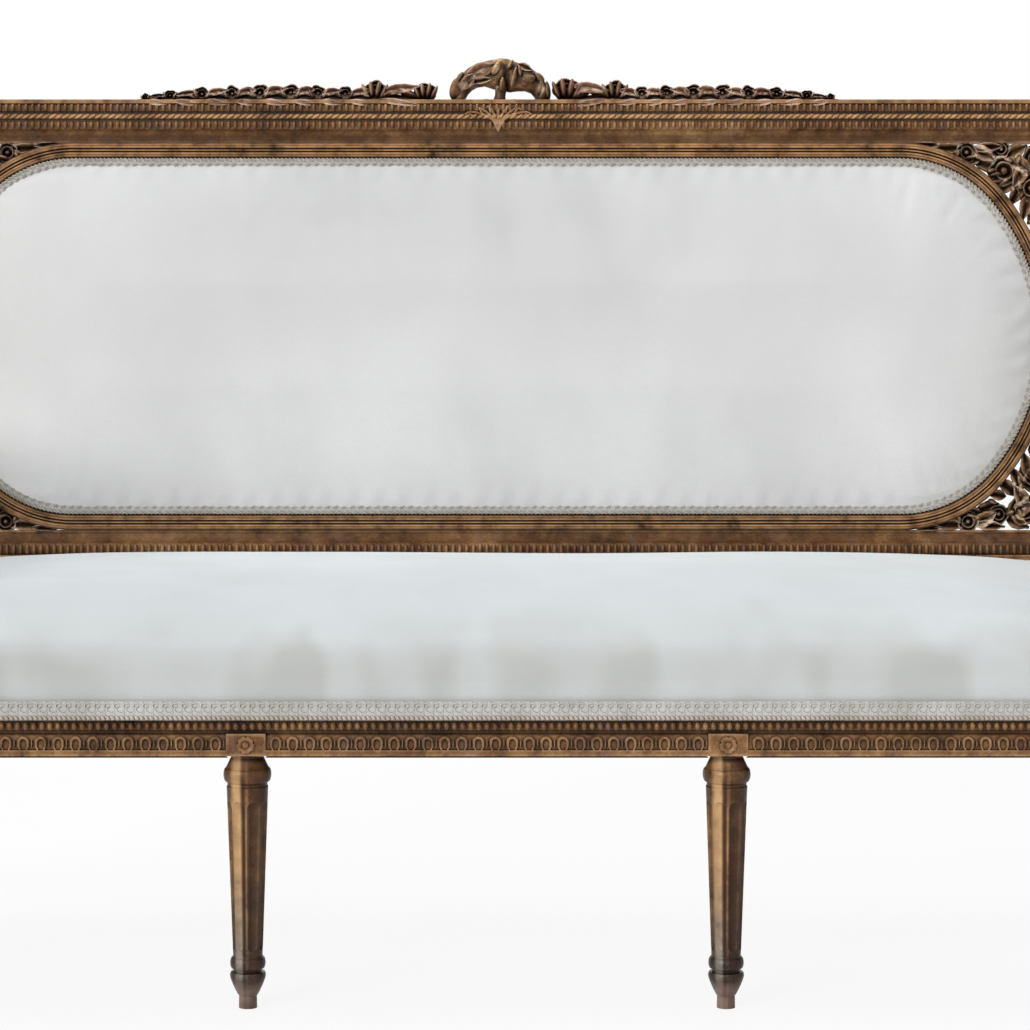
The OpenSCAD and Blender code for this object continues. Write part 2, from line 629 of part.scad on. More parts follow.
// Arm pads: a stuffed pad with a crown, and the braid round its foot
pad_corner = arm_w * 0.24;
pad_half = arm_w / 2 - gimp_t - cloth_gap * 2;
pad_corner_steps = 4;
function pad_path(inset, z) = let (r = max(pad_corner - inset, pad_corner / 4))
    [for (c = [[1, -1, -90], [1, 1, 0], [-1, 1, 90], [-1, -1, 180]])
        for (k = [0:pad_corner_steps]) let (a = c[2] + 90 * k / pad_corner_steps)
        [c.x * (pad_half - inset - r) + r * cos(a),
        (pad_from + pad_to) / 2 + c.y * ((pad_to - pad_from) / 2 - inset - r) + r * sin(a), z]];
// Inset and height of the pad's rings, as shares of half its width and of its height
pad_ring_shares = [[0.1, 0], [0, 0.3], [0.02, 0.55], [0.14, 0.78], [0.38, 0.93], [0.7, 1]];

module arm_pad() color(linen) in_arm() loft([for (p = pad_ring_shares)
    pad_path(p.x * pad_half, arm_h + cloth_gap + p.y * arm_pad_h)]);

module arm_gimp() color(braid) in_arm() translate([0, 0, arm_h]) difference() {
    linear_extrude(height = gimp_h / 2) polygon([for (p = pad_path(-cloth_gap - gimp_t, 0)) [p.x, p.y]]);
    translate([0, 0, -overrun]) linear_extrude(height = gimp_h / 2 + 2 * overrun)
        polygon([for (p = pad_path(-cloth_gap, 0)) [p.x, p.y]]);
}

// A closed skin over rings of points, from the lowest ring to the highest
module loft(rings) {
    n = len(rings[0]);
    m = len(rings);
    polyhedron(points = [for (ring = rings) for (p = ring) p],
        faces = concat(
            [[for (i = [0:n - 1]) i]],
            [for (j = [0:m - 2]) for (i = [0:n - 1]) let (k = (i + 1) % n)
                [j * n + i, (j + 1) * n + i, (j + 1) * n + k]],
            [for (j = [0:m - 2]) for (i = [0:n - 1]) let (k = (i + 1) % n)
                [j * n + i, (j + 1) * n + k, j * n + k]],
            [[for (i = [n - 1:-1:0]) (m - 1) * n + i]]));
}

// Struts across the seat frame, over the middle legs
strut_w = side_rail_t;
strut_z = leg_h + dowel_l + tenon_t / 3;
strut_h = rail_h - dowel_l - tenon_t * 0.6;
strut_tenon_l = tenon_l / 3;

module strut_tenons(grow = 0) for (x = [-mid_leg_x, mid_leg_x])
    block([x - tenon_t / 2, y_front + front_rail_t - strut_tenon_l, strut_z + strut_h / 4],
        [x + tenon_t / 2, y_post + strut_tenon_l, strut_z + strut_h * 0.75], grow);

module seat_struts() color(raw_wood) {
    for (x = [-mid_leg_x, mid_leg_x])
        block([x - strut_w / 2, y_front + front_rail_t, strut_z],
            [x + strut_w / 2, y_post, strut_z + strut_h]);
    strut_tenons();
}

// Corner blocks, glued and screwed in the seat frame's corners
corner_l = leg_head * 1.5;
corner_w = leg_head * 0.42;
corner_z = leg_h + rail_h * rail_low_share;
corner_h = rail_h * 0.5;
screw_r = tenon_t * 0.2;
screw_head_r = screw_r * 2;
screw_head_t = screw_r;
screw_l = rear_rail_t * 0.6;
screw_inset = corner_w * 0.45;
side_inner = side_rail_t / cos(side_lean);
front_corner = [side_x - side_inner, y_front + front_rail_t];
rear_corner = [back_half - side_inner, y_post];
function side_shift(y) = (y - y_front - leg_head) * tan(side_lean);

module corner_block_shapes() {
    g = joint_gap;
    x = front_corner.x;
    y = front_corner.y;
    head_x = end_leg_x - collar_r;
    head_y = y_front + leg_head;
    far_y = head_y + corner_l;
    translate([0, 0, corner_z]) linear_extrude(height = corner_h) polygon([[head_x - corner_l, y + g],
        [head_x - g, y + g], [head_x - g, head_y + g], [x - g, head_y + g],
        [x - g - side_shift(far_y), far_y], [x - g - side_shift(far_y) - corner_w, far_y],
        [head_x - corner_l, y + corner_w]]);
    back_y = y_post - corner_l;
    translate([0, 0, corner_z]) linear_extrude(height = corner_h) polygon([
        [rear_corner.x - corner_l, y_post - g], [rear_corner.x - g, y_post - g],
        [x - g - side_shift(back_y), back_y], [x - g - side_shift(back_y) - corner_w, back_y],
        [rear_corner.x - corner_l, y_post - corner_w]]);
}

// One screw pointing along +Z, its shoulder at the origin
module screw(grow = 0) {
    translate([0, 0, -screw_head_t - grow]) cylinder(r = screw_head_r + grow, h = screw_head_t + grow);
    translate([0, 0, -overrun]) cylinder(r = screw_r + grow, h = overrun + corner_w + screw_l + grow);
}

// Each screw's shoulder, and the turn that points its tip into the rail
screw_z = corner_z + corner_h / 2;
front_screw = [end_leg_x - collar_r - corner_l + screw_inset, front_corner.y + corner_w, screw_z];
rear_screw = [rear_corner.x - corner_l + screw_inset, y_post - corner_w, screw_z];
side_screw_ys = [y_front + leg_head + corner_l - screw_inset, y_post - corner_l + screw_inset];

module corner_screw_places() {
    translate(front_screw) rotate([90, 0, 0]) children();
    translate(rear_screw) rotate([-90, 0, 0]) children();
    for (y = side_screw_ys) translate([front_corner.x - side_shift(y) - corner_w, y, screw_z])
        rotate([0, 90, 0]) children();
}

module screws(grow = 0) {
    corner_screw_places() screw(grow);
    left() corner_screw_places() screw(grow);
}

module corner_blocks() color(raw_wood) difference() {
    union() {
        corner_block_shapes();
        left() corner_block_shapes();
    }
    screws(joint_gap);
    corner_screw_places() screw_pocket();
    left() corner_screw_places() screw_pocket();
}

// The open bore that lets a screw's head down into its block
module screw_pocket() translate([0, 0, corner_w - corner_l])
    cylinder(r = screw_head_r + joint_gap, h = corner_l - corner_w);

module corner_screws() color(steel) screws();

// Jute webbing under the seat: nine straps front to back over three along it
web_w = 50;
web_inset = rabbet_d * 1.2;
long_web_z = leg_h - 2 * web_t - cloth_gap / 2;
spring_column_shares = [-0.84, -0.65, -0.464, -0.2, 0, 0.2, 0.464, 0.65, 0.84];
spring_row_shares = [-0.62, 0, 0.62];
seat_mid_y = (y_front + front_rail_t + y_post) / 2;
seat_half_y = (y_post - y_front - front_rail_t) / 2;

module seat_webbing() color(jute) {
    for (s = spring_column_shares) translate([s * end_leg_x, 0, 0])
        block([-web_w / 2, y_front + front_rail_t - web_inset * 2, leg_h - web_t],
            [web_w / 2, y_post + rear_rail_t - web_inset, leg_h]);
    for (s = spring_row_shares) {
        y = seat_mid_y + s * seat_half_y;
        reach = side_edge(web_inset, y + web_w / 2);
        block([-reach, y - web_w / 2, long_web_z], [reach, y + web_w / 2, long_web_z + web_t]);
    }
}

// Coil springs, waisted like an hourglass, each one unbroken wire
spring_turns = 4;
spring_steps = 6;
spring_r = 45;
spring_waist_share = 0.62;
wire_r = 2;
spring_top = seat_z + rail_h * 0.5;
spring_low_z = leg_h + cloth_gap + wire_r;
spring_high_z = spring_top - cloth_gap - wire_r;
spring_ring = [[0, 1], [-1, 0], [0, -1], [1, 0]];
// Share of the height that a point has climbed: the end turns lie almost flat
function climb(t) = t - 0.6 * sin(360 * t) / (2 * PI);
function coil_r(t) = spring_r * (1 - (1 - spring_waist_share) * pow(sin(180 * t), 2));
function coil_points() = [for (i = [0:spring_turns * spring_steps])
    let (t = i / (spring_turns * spring_steps), a = 360 * i / spring_steps,
        z = spring_low_z + climb(t) * (spring_high_z - spring_low_z))
    [for (p = spring_ring) [(coil_r(t) + p.x * wire_r) * cos(a), (coil_r(t) + p.x * wire_r) * sin(a),
        z + p.y * wire_r]]];
function turn_gap(i) = let (t = i / (spring_turns * spring_steps), u = t + 1 / spring_turns)
    norm([coil_r(u) - coil_r(t), (climb(u) - climb(t)) * (spring_high_z - spring_low_z)]) - 2 * wire_r;
spring_gap = min([for (i = [0:(spring_turns - 1) * spring_steps]) turn_gap(i)]);

module seat_springs() color(steel) {
    echo(least_gap_between_turns = spring_gap);
    for (s = spring_column_shares) for (r = spring_row_shares)
        translate([s * end_leg_x, seat_mid_y + r * seat_half_y, 0]) loft(coil_points());
}

// Seat outline: inset from the rails' outer faces, and the place of its rear edge
seat_corner = leg_head * 0.6;
seat_corner_steps = 4;
seat_front_steps = 14;
seat_side_steps = 4;
function side_edge(inset, y) = side_x - side_shift(y) - inset / cos(side_lean);
function seat_corners(inset, rear) = let (f = y_front + inset)
    [[-side_edge(inset, f), f], [side_edge(inset, f), f],
    [side_edge(inset, rear), rear], [-side_edge(inset, rear), rear]];
function unit(v) = v / norm(v);
function rounded(a, p, b, t) = (1 - t) * (1 - t) * a + 2 * t * (1 - t) * p + t * t * b;
function seat_path(inset, rear, z, round_r) = let (c = seat_corners(inset, rear))
    [for (j = [0:3]) let (p = c[j], q = c[(j + 1) % 4], o = c[(j + 3) % 4],
        steps = j % 2 == 0 ? seat_front_steps : seat_side_steps,
        a = p + unit(o - p) * round_r, b = p + unit(q - p) * round_r, e = q + unit(p - q) * round_r)
        for (k = [0:seat_corner_steps + steps - 1])
            let (v = k <= seat_corner_steps ? rounded(a, p, b, k / seat_corner_steps)
                : b + (e - b) * (k - seat_corner_steps) / steps)
            [v.x, v.y, z]];

// Rings of the cushion's side: how far in from the rail's face, and height above the show line,
// as shares of the front bulge and of the height from there to the crown
seat_top_z = seat_z + seat_crown_h;
gimp_top_share = (gimp_h + 2 * cloth_gap) / (seat_top_z - show_z);
seat_side_shares = [[0.25, 0], [-0.5, gimp_top_share], [-1, 0.35], [-0.85, 0.5], [-0.1, 0.61],
    [1.4, 0.69], [4.2, 0.76], [8.5, 0.82]];
// Rings of the crown: scale of the last side ring, and height of the rest that is left
seat_dome_shares = [[0.86, 0.36], [0.68, 0.64], [0.46, 0.86], [0.22, 0.97]];
// Where the rear starts to roll forward and the seat to tilt, as shares of its height
roll_from_share = 0.35;
tilt_from_share = 0.5;
rim_share = seat_side_shares[len(seat_side_shares) - 1].y;
seat_rear_y = y_post + rear_rail_t * 0.9;
rear_roll = back_t * 1.8;

function seat_side_ring(p) = let (roll = max(0, (p.y - roll_from_share) / (rim_share - roll_from_share)),
    lift = seat_tilt * max(0, (p.y - tilt_from_share) / (rim_share - tilt_from_share)))
    [for (q = seat_path(p.x * front_bulge, seat_rear_y - pow(roll, 2) * rear_roll,
        show_z + p.y * (seat_top_z - show_z), seat_corner))
        q + [0, 0, lift * (q.y - y_front) / seat_depth]];
seat_rim = seat_side_ring(seat_side_shares[len(seat_side_shares) - 1]);
seat_mid = [0, (seat_rim[0].y + seat_rear_y - rear_roll) / 2];
function seat_dome_ring(p) = [for (q = seat_rim) [q.x * p.x, seat_mid.y + (q.y - seat_mid.y) * p.x,
    q.z + p.y * (seat_top_z - q.z)]];

// The hessian over the springs, and the hollow under the cushion that clears it and the rails
hessian_slope = rail_h * 0.4;
flange_in = side_rail_t * 0.72;
flange_w = side_rail_t * 0.24;
rear_flange = y_post + rear_rail_t * 0.45;
pocket_corner = seat_corner / 3;
function flange_path(inset, z) = seat_path(flange_in + inset, rear_flange - inset, z, pocket_corner);
hessian_low = seat_z + cloth_gap / 2;
hollow_low = hessian_low + hessian_t + 1.5 * cloth_gap;
hollow_top = spring_top + hessian_t + 1.5 * cloth_gap;
slope_in = cloth_gap + flange_w;
pocket_rings = [
    seat_path(rabbet_d - cloth_gap, rear_flange + cloth_gap, show_z, pocket_corner),
    seat_path(rabbet_d - cloth_gap, rear_flange + cloth_gap, seat_z + cloth_gap, pocket_corner),
    flange_path(0, seat_z + cloth_gap), flange_path(0, hollow_low), flange_path(slope_in, hollow_low),
    flange_path(slope_in + hessian_slope, hollow_top)];

// A closed skin that turns back inside itself at its lower edge
module hollow_loft(outer, inner) loft(concat([for (i = [len(inner) - 1:-1:0]) inner[i]], outer));

module seat_cushion() color(linen) difference() {
    hollow_loft(concat([for (p = seat_side_shares) seat_side_ring(p)],
        [for (p = seat_dome_shares) seat_dome_ring(p)]), pocket_rings);
    seat_notches();
    left() seat_notches();
    block([-oval_out_x - overrun, y_post - cloth_gap, leg_h],
        [oval_out_x + overrun, y_post + back_t * 2, seat_z + cloth_gap]);
}

// Where the seat is cut round an end leg's head, its support and a rear post
module seat_notches() {
    block([end_leg_x - collar_r - cloth_gap, y_front - 2 * front_bulge, leg_h],
        [side_x + leg_head, y_front + leg_head + cloth_gap, seat_top_z]);
    block([oval_out_x - cloth_gap, y_post - cloth_gap, leg_h], [side_x, y_post + 3 * back_t, seat_top_z]);
}

module seat_hessian() color(jute) difference() {
    hollow_loft(
        [flange_path(cloth_gap, hessian_low), flange_path(cloth_gap, hessian_low + hessian_t),
        flange_path(slope_in, hessian_low + hessian_t),
        flange_path(slope_in + hessian_slope, spring_top + hessian_t)],
        [flange_path(slope_in, hessian_low), flange_path(slope_in + hessian_slope, spring_top)]);
    seat_notches();
    left() seat_notches();
}

// Braid along the lower edge of the seat's front and sides, laid on the cushion's slope
function gimp_outline() = let (g = cloth_gap, low = front_bulge * seat_side_shares[0].x - 1.5 * g,
    high = low - front_bulge * (seat_side_shares[0].x - seat_side_shares[1].x))
    [[low, show_z + g], [high, show_z + g + gimp_h], [high - gimp_t, show_z + g + gimp_h],
    [low - gimp_t, show_z + g]];

module seat_gimp() color(braid) {
    reach = end_leg_x - collar_r - cloth_gap;
    translate([0, y_front, 0]) along_x(-reach, reach, gimp_outline());
    side_gimp();
    left() side_gimp();
}

module side_gimp() intersection() {
    translate([side_x, y_front + leg_head, 0]) rotate([0, 0, 90 + side_lean])
        along_x(-leg_head, seat_depth, gimp_outline());
    block([0, y_front + leg_head + cloth_gap, 0], [side_x + leg_head, y_post - cloth_gap, seat_top_z]);
}

// Black cloth that closes the underside, cut round the legs
dust_t = 1;
dust_inset = rabbet_d * 1.6;

module dust_cover() color(black_cloth) translate([0, 0, long_web_z - cloth_gap - dust_t]) {
    front = y_front + dust_inset;
    rear = y_post + rear_rail_t - dust_inset / 2;
    difference() {
        linear_extrude(height = dust_t) polygon([[-side_edge(dust_inset, front), front],
            [side_edge(dust_inset, front), front], [side_edge(dust_inset, rear), rear],
            [-side_edge(dust_inset, rear), rear]]);
        for (x = [-end_leg_x, -mid_leg_x, mid_leg_x, end_leg_x]) translate([x, leg_y, -overrun])
            cylinder(r = collar_r * 0.9, h = dust_t + 2 * overrun);
        for (x = [-back_half - dust_inset, oval_out_x - cloth_gap * 3])
            translate([x, y_post - cloth_gap * 3, -overrun])
                cube([stile_w + dust_inset + cloth_gap * 3, back_t * 2, dust_t + 2 * overrun]);
    }
}

// Outline of the oval panel at a distance inside its edge, seen from the front
oval_steps = [6, 5, 5];
function quarter(inset) = concat(
    [for (k = [0:oval_steps[0] - 1]) let (a = arc_turn * (k + 0.5) / oval_steps[0])
        [side_arc_x + (side_arc - inset) * cos(a), (side_arc - inset) * sin(a)]],
    [for (k = [0:oval_steps[1]]) let (a = arc_turn + (90 - arc_turn) * k / oval_steps[1])
        [oval_run + (oval_arc - inset) * cos(a), oval_rise - oval_arc + (oval_arc - inset) * sin(a)]],
    [for (k = [1:oval_steps[2]]) [oval_run * (1 - (k - 0.35) / oval_steps[2]), oval_rise - inset]]);
function turned_about(path, sx, sz, back) = [for (k = [0:len(path) - 1])
    let (p = path[back ? len(path) - 1 - k : k]) [p.x * sx, p.y * sz]];
function oval_path(inset) = let (q = quarter(inset)) concat(turned_about(q, 1, 1, false),
    turned_about(q, -1, 1, true), turned_about(q, -1, -1, false), turned_about(q, 1, -1, true));
function oval_ring(inset, y, scale_by = 1) =
    [for (p = oval_path(inset)) [p.x * scale_by, y, p.y * scale_by]];

module in_oval() in_back() translate([0, 0, oval_centre_h]) children();

module oval_plate(inset, y0, y1) translate([0, y1, 0]) rotate([90, 0, 0])
    linear_extrude(height = y1 - y0) polygon(oval_path(inset));

// Webbing and hessian tacked to the oval's ledge behind the back pad
back_web_count = 7;
back_web_w = 50;

module back_webbing() color(jute) in_oval() for (i = [0:back_web_count - 1]) {
    x = (i - (back_web_count - 1) / 2) * 2 * oval_run / (back_web_count - 1);
    h = oval_rise - ledge_w / 4;
    block([x - back_web_w / 2, ledge_front - web_t, -h], [x + back_web_w / 2, ledge_front, h]);
}

module back_hessian() color(jute) in_oval()
    oval_plate(ledge_w / 5, ledge_front - web_t - hessian_t, ledge_front - web_t);

// Back pad: a flat back, an edge held down by the braid, and a low wide crown.
// Inset and rise of its rings, as shares of the oval's height and of the crown
back_gimp_w = oval_mould_w * 0.45;
pad_back_y = ledge_front - web_t - hessian_t - cloth_gap;
pad_edge_y = back_t * 0.12;
back_pad_shares = [[0.1, 0.34], [0.18, 0.58], [0.32, 0.8], [0.5, 0.93]];
pad_middle_share = 0.45;

module back_pad() color(linen) in_oval() loft(concat(
    [oval_ring(cloth_gap, pad_back_y), oval_ring(cloth_gap, pad_edge_y),
    oval_ring(back_gimp_w + 3 * cloth_gap, pad_edge_y)],
    [for (p = back_pad_shares) oval_ring(p.x * oval_rise, pad_edge_y - p.y * (back_crown + pad_edge_y))],
    [oval_ring(back_pad_shares[3].x * oval_rise, -back_crown, pad_middle_share)]));

// Braid along the back pad's edge, inside the moulding
module back_gimp() color(braid) in_oval() difference() {
    oval_plate(cloth_gap * 2, pad_edge_y - cloth_gap - gimp_t, pad_edge_y - cloth_gap);
    oval_plate(cloth_gap * 2 + back_gimp_w, pad_edge_y - gimp_t - overrun, pad_edge_y + overrun);
}

// Cloth panel on the back of the sofa, in the moulding's rear rabbet, and its braid
outside_y = ledge_back + cloth_gap;

module outside_back() color(linen) in_oval() oval_plate(cloth_gap, outside_y, back_t - gimp_t);

module outside_gimp() color(braid) in_oval() difference() {
    oval_plate(cloth_gap, back_t - gimp_t + cloth_gap, back_t + cloth_gap);
    oval_plate(cloth_gap + back_gimp_w, back_t - gimp_t - overrun, back_t + overrun);
}

front_rail();
rear_rail();
left() side_rail();  // side_rail_left
side_rail();  // side_rail_right
left() front_leg();  // front_leg_left
front_leg();  // front_leg_right
left() mid_leg();  // mid_leg_left
mid_leg();  // mid_leg_right
left() rear_post();  // rear_post_left
rear_post();  // rear_post_right
top_rail();
lower_rail();
oval_moulding_top();
oval_moulding_bottom();
left() oval_end();  // oval_moulding_left
oval_end();  // oval_moulding_right
spandrel_top_left();
left() spandrel_top_left();  // spandrel_top_right
spandrel_bottom_left();
left() spandrel_bottom_left();  // spandrel_bottom_right
crest_bow();
crest_leaf();
crest_garland(-1);  // crest_garland_left
crest_garland(1);  // crest_garland_right
left() arm();  // arm_left
arm();  // arm_right
left() arm_support();  // arm_support_left
arm_support();  // arm_support_right
left() arm_pad();  // arm_pad_left
arm_pad();  // arm_pad_right
left() arm_gimp();  // arm_gimp_left
arm_gimp();  // arm_gimp_right
seat_struts();
corner_blocks();
corner_screws();
seat_webbing();
seat_springs();
seat_hessian();
seat_cushion();
seat_gimp();
dust_cover();
back_webbing();
back_hessian();
back_pad();
back_gimp();
outside_back();
outside_gimp();
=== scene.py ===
import json
import math

import bmesh
import bpy
from mathutils import Matrix, Vector, noise

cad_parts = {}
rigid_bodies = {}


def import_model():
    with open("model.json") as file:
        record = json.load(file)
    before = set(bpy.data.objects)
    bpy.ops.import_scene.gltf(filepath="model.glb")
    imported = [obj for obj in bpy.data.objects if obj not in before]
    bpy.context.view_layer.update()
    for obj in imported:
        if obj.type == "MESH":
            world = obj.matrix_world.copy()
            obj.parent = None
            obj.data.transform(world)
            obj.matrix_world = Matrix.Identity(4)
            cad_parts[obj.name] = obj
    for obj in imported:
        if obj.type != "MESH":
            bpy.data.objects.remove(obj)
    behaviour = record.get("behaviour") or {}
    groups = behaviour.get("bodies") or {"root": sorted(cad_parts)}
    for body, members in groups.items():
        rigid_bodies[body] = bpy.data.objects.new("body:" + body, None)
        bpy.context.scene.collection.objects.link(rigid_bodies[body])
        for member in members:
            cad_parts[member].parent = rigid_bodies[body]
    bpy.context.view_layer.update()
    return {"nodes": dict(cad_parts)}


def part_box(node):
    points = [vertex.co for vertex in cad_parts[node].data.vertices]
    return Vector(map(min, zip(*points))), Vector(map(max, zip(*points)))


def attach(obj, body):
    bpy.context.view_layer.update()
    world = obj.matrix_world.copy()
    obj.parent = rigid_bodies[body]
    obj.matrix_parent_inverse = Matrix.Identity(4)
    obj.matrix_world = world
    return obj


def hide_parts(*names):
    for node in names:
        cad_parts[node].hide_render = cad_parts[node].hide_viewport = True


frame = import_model()
nodes = frame["nodes"]

# The studio. A plain pale floor, soft window light from the left, large lamps in front, above
# and behind, and an even sky. The camera stands four metres before the seat, at the height of
# the back, and its small shifts keep the posts and legs upright as the photograph has them.
picture_side, focus, shift_right, shift_up = 1030, 3426, 28, -154.5
camera_far, camera_high, camera_down = 3.95, 0.92, 2.324
rail_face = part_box("front_rail")[0]
scene = bpy.context.scene


def linked(name, data):
    """A new object in the scene."""
    made = bpy.data.objects.new(name, data)
    scene.collection.objects.link(made)
    return made


camera_data = bpy.data.cameras.new("camera")
camera_data.sensor_width = 36
camera_data.lens = camera_data.sensor_width * focus / picture_side
camera_data.shift_x = shift_right / picture_side
camera_data.shift_y = shift_up / picture_side
camera = linked("camera", camera_data)
camera.location = (0, rail_face.y - camera_far, camera_high)
camera.rotation_euler = (math.radians(90 - camera_down), 0, 0)
scene.camera = camera
scene.view_settings.view_transform = "Standard"


def paint(code):
    """A colour written as web pages write it, as the renderer's own numbers."""
    shares = [int(code[i:i + 2], 16) / 255 for i in (1, 3, 5)]
    return (*(s / 12.92 if s <= 0.04045 else ((s + 0.055) / 1.055) ** 2.4 for s in shares), 1)


class Value:
    """One output of a finish's node. Sums with it are written as Python writes them."""

    def __init__(self, finish, socket):
        self.finish = finish
        self.socket = socket

    def sum(self, operation, left, right):
        return self.finish.node("Math", {"operation": operation}, {0: left, 1: right})

    def __add__(self, other):
        return self.sum("ADD", self, other)

    def __radd__(self, other):
        return self.sum("ADD", other, self)

    def __sub__(self, other):
        return self.sum("SUBTRACT", self, other)

    def __rsub__(self, other):
        return self.sum("SUBTRACT", other, self)

    def __mul__(self, other):
        return self.sum("MULTIPLY", self, other)

    def __rmul__(self, other):
        return self.sum("MULTIPLY", other, self)

    def __truediv__(self, other):
        return self.sum("DIVIDE", self, other)

    def __rtruediv__(self, other):
        return self.sum("DIVIDE", other, self)

    def __abs__(self):
        return self.finish.node("Math", {"operation": "ABSOLUTE"}, {0: self})


class Finish:
    """A material in the making, with its nodes."""

    def __init__(self, name, owner=None):
        self.material = owner or bpy.data.materials.new(name)
        self.material.use_nodes = True
        self.tree = self.material.node_tree
        self.shader = self.tree.nodes.get("Principled BSDF")

    def node(self, kind, settings, values, out=0):
        """Adds a node of that kind, with its settings first and then its sockets."""
        made = self.tree.nodes.new("ShaderNode" + kind)
        for key, setting in settings.items():
            if key == "stops":
                for _ in setting[2:]:
                    made.color_ramp.elements.new(0.5)
                for stop, (place, colour) in zip(made.color_ramp.elements, setting):
                    stop.position, stop.color = place, paint(colour)
            else:
                setattr(made, key, setting)
        for key, value in values.items():
            self.feed(made.inputs[key], value)
        return Value(self, made.outputs[out])

    def feed(self, socket, value):
        """Links a value to a socket, or writes a constant or a colour's code in it."""
        if isinstance(value, Value):
            self.tree.links.new(value.socket, socket)
        else:
            socket.default_value = paint(value) if isinstance(value, str) else value

    def set(self, **values):
        """Sets the shader's own sockets, their spaces written as underscores."""
        for key, value in values.items():
            self.feed(self.shader.inputs[key.replace("_", " ")], value)
        return self.material

    def place(self, scale=None):
        """Where a point is on the object, stretched for a pattern if it has a scale."""
        point = self.node("TexCoord", {}, {}, out="Object")
        return self.node("Mapping", {}, {"Vector": point, "Scale": scale}) if scale else point

    def axis(self, name):
        """How far along one axis of the object a point is."""
        return self.node("SeparateXYZ", {}, {0: self.place()}, out=name)

    def clouds(self, size, detail=3, roughness=0.55, place=None):
        """Soft cloudy change, one cloud about that many metres across, from 0 to 1."""
        return self.node("TexNoise", {}, {
            "Vector": place or self.place(), "Scale": 1 / size, "Detail": detail,
            "Roughness": roughness})

    def between(self, value, low, high, floor=0.0, top=1.0):
        """How far a value has come from low to high, held at both ends."""
        return self.node("MapRange", {"clamp": True}, {
            "Value": value, "From Min": low, "From Max": high, "To Min": floor, "To Max": top})

    def mix(self, share, first, second):
        """A colour between two others."""
        return self.node("Mix", {"data_type": "RGBA"}, {0: share, 6: first, 7: second}, out=2)

    def layer(self, tone, *coats):
        """A colour with others laid over it in turn, each for its share."""
        for share, colour in coats:
            tone = self.mix(share, tone, colour)
        return tone

    def hollows(self, reach, inside=False):
        """1 on open ground, and less in a hollow of that reach, or near an edge if inside."""
        return self.node("AmbientOcclusion", {"samples": 6, "inside": inside}, {
            "Distance": reach}, out="AO")

    def rays(self, *kinds):
        """1 for light rays of these kinds, and 0 for all others."""
        seen = [self.node("LightPath", {}, {}, out=kind) for kind in kinds]
        return sum(seen[1:], seen[0])

    def bump(self, height, depth, strength):
        """Normals from a height that is 0 to 1, which stands for that many metres."""
        return self.node("Bump", {}, {"Height": height, "Distance": depth, "Strength": strength})


def fresh(add, **settings):
    """A simple form to model from, the only thing selected."""
    bpy.ops.object.select_all(action="DESELECT")
    add(**settings)
    return bpy.context.object


floor = fresh(bpy.ops.mesh.primitive_plane_add, size=30, location=(0, 0, -0.0005))
floor.name = "floor"
floor_finish = Finish("floor")
seen = floor_finish.rays("Is Camera Ray", "Is Glossy Ray")
dust = floor_finish.clouds(0.6, 4)
floor_finish.set(Roughness=0.8, Base_Color=floor_finish.mix(dust * 0.08, "#f4f4f3", "#e9e9e7"))
glow = floor_finish.node("Emission", {}, {"Color": (1, 1, 1, 1), "Strength": 1.0})
ground = floor_finish.node("MixShader", {}, {
    0: seen * 0.9, 1: Value(floor_finish, floor_finish.shader.outputs[0]), 2: glow})
floor_finish.feed(floor_finish.tree.nodes["Material Output"].inputs[0], ground)
floor.data.materials.append(floor_finish.material)

world = bpy.data.worlds.new("sky")
scene.world = world
sky = Finish("sky", owner=world)
seen = sky.rays("Is Camera Ray", "Is Glossy Ray", "Is Transmission Ray")
backdrop = sky.node("Background", {}, {"Color": (1, 1, 1, 1), "Strength": 1.0})
daylight = sky.node("Background", {}, {"Color": (0.93, 0.96, 1, 1), "Strength": 0.17})
sky.feed(sky.tree.nodes["World Output"].inputs[0], sky.node("MixShader", {}, {
    0: seen, 1: daylight, 2: backdrop}))


def lamp(name, place, width, watts, colour):
    """A square soft lamp that faces the middle of the sofa."""
    data = bpy.data.lights.new(name, "AREA")
    data.shape, data.size, data.energy, data.color = "SQUARE", width, watts, colour
    made = linked(name, data)
    made.location = place
    made.rotation_euler = (Vector((0, 0, 0.6)) - Vector(place)).to_track_quat("-Z", "Y").to_euler()


lamp("front_lamp", (0.8, -5.2, 0.8), 3.0, 14, (1, 1, 1))
lamp("high_lamp", (0.2, 0.3, 4.2), 2.2, 88, (0.93, 0.97, 1))
lamp("rear_lamp", (0.6, 4.5, 2.4), 2.4, 50, (1, 1, 1))
window = bpy.data.lights.new("window_light", "SUN")
window.energy, window.angle, window.color = 2.05, math.radians(30), (1, 0.985, 0.96)
window_light = linked("window_light", window)
window_light.rotation_euler = Vector((0.53, 0.75, -0.36)).to_track_quat("-Z", "Y").to_euler()


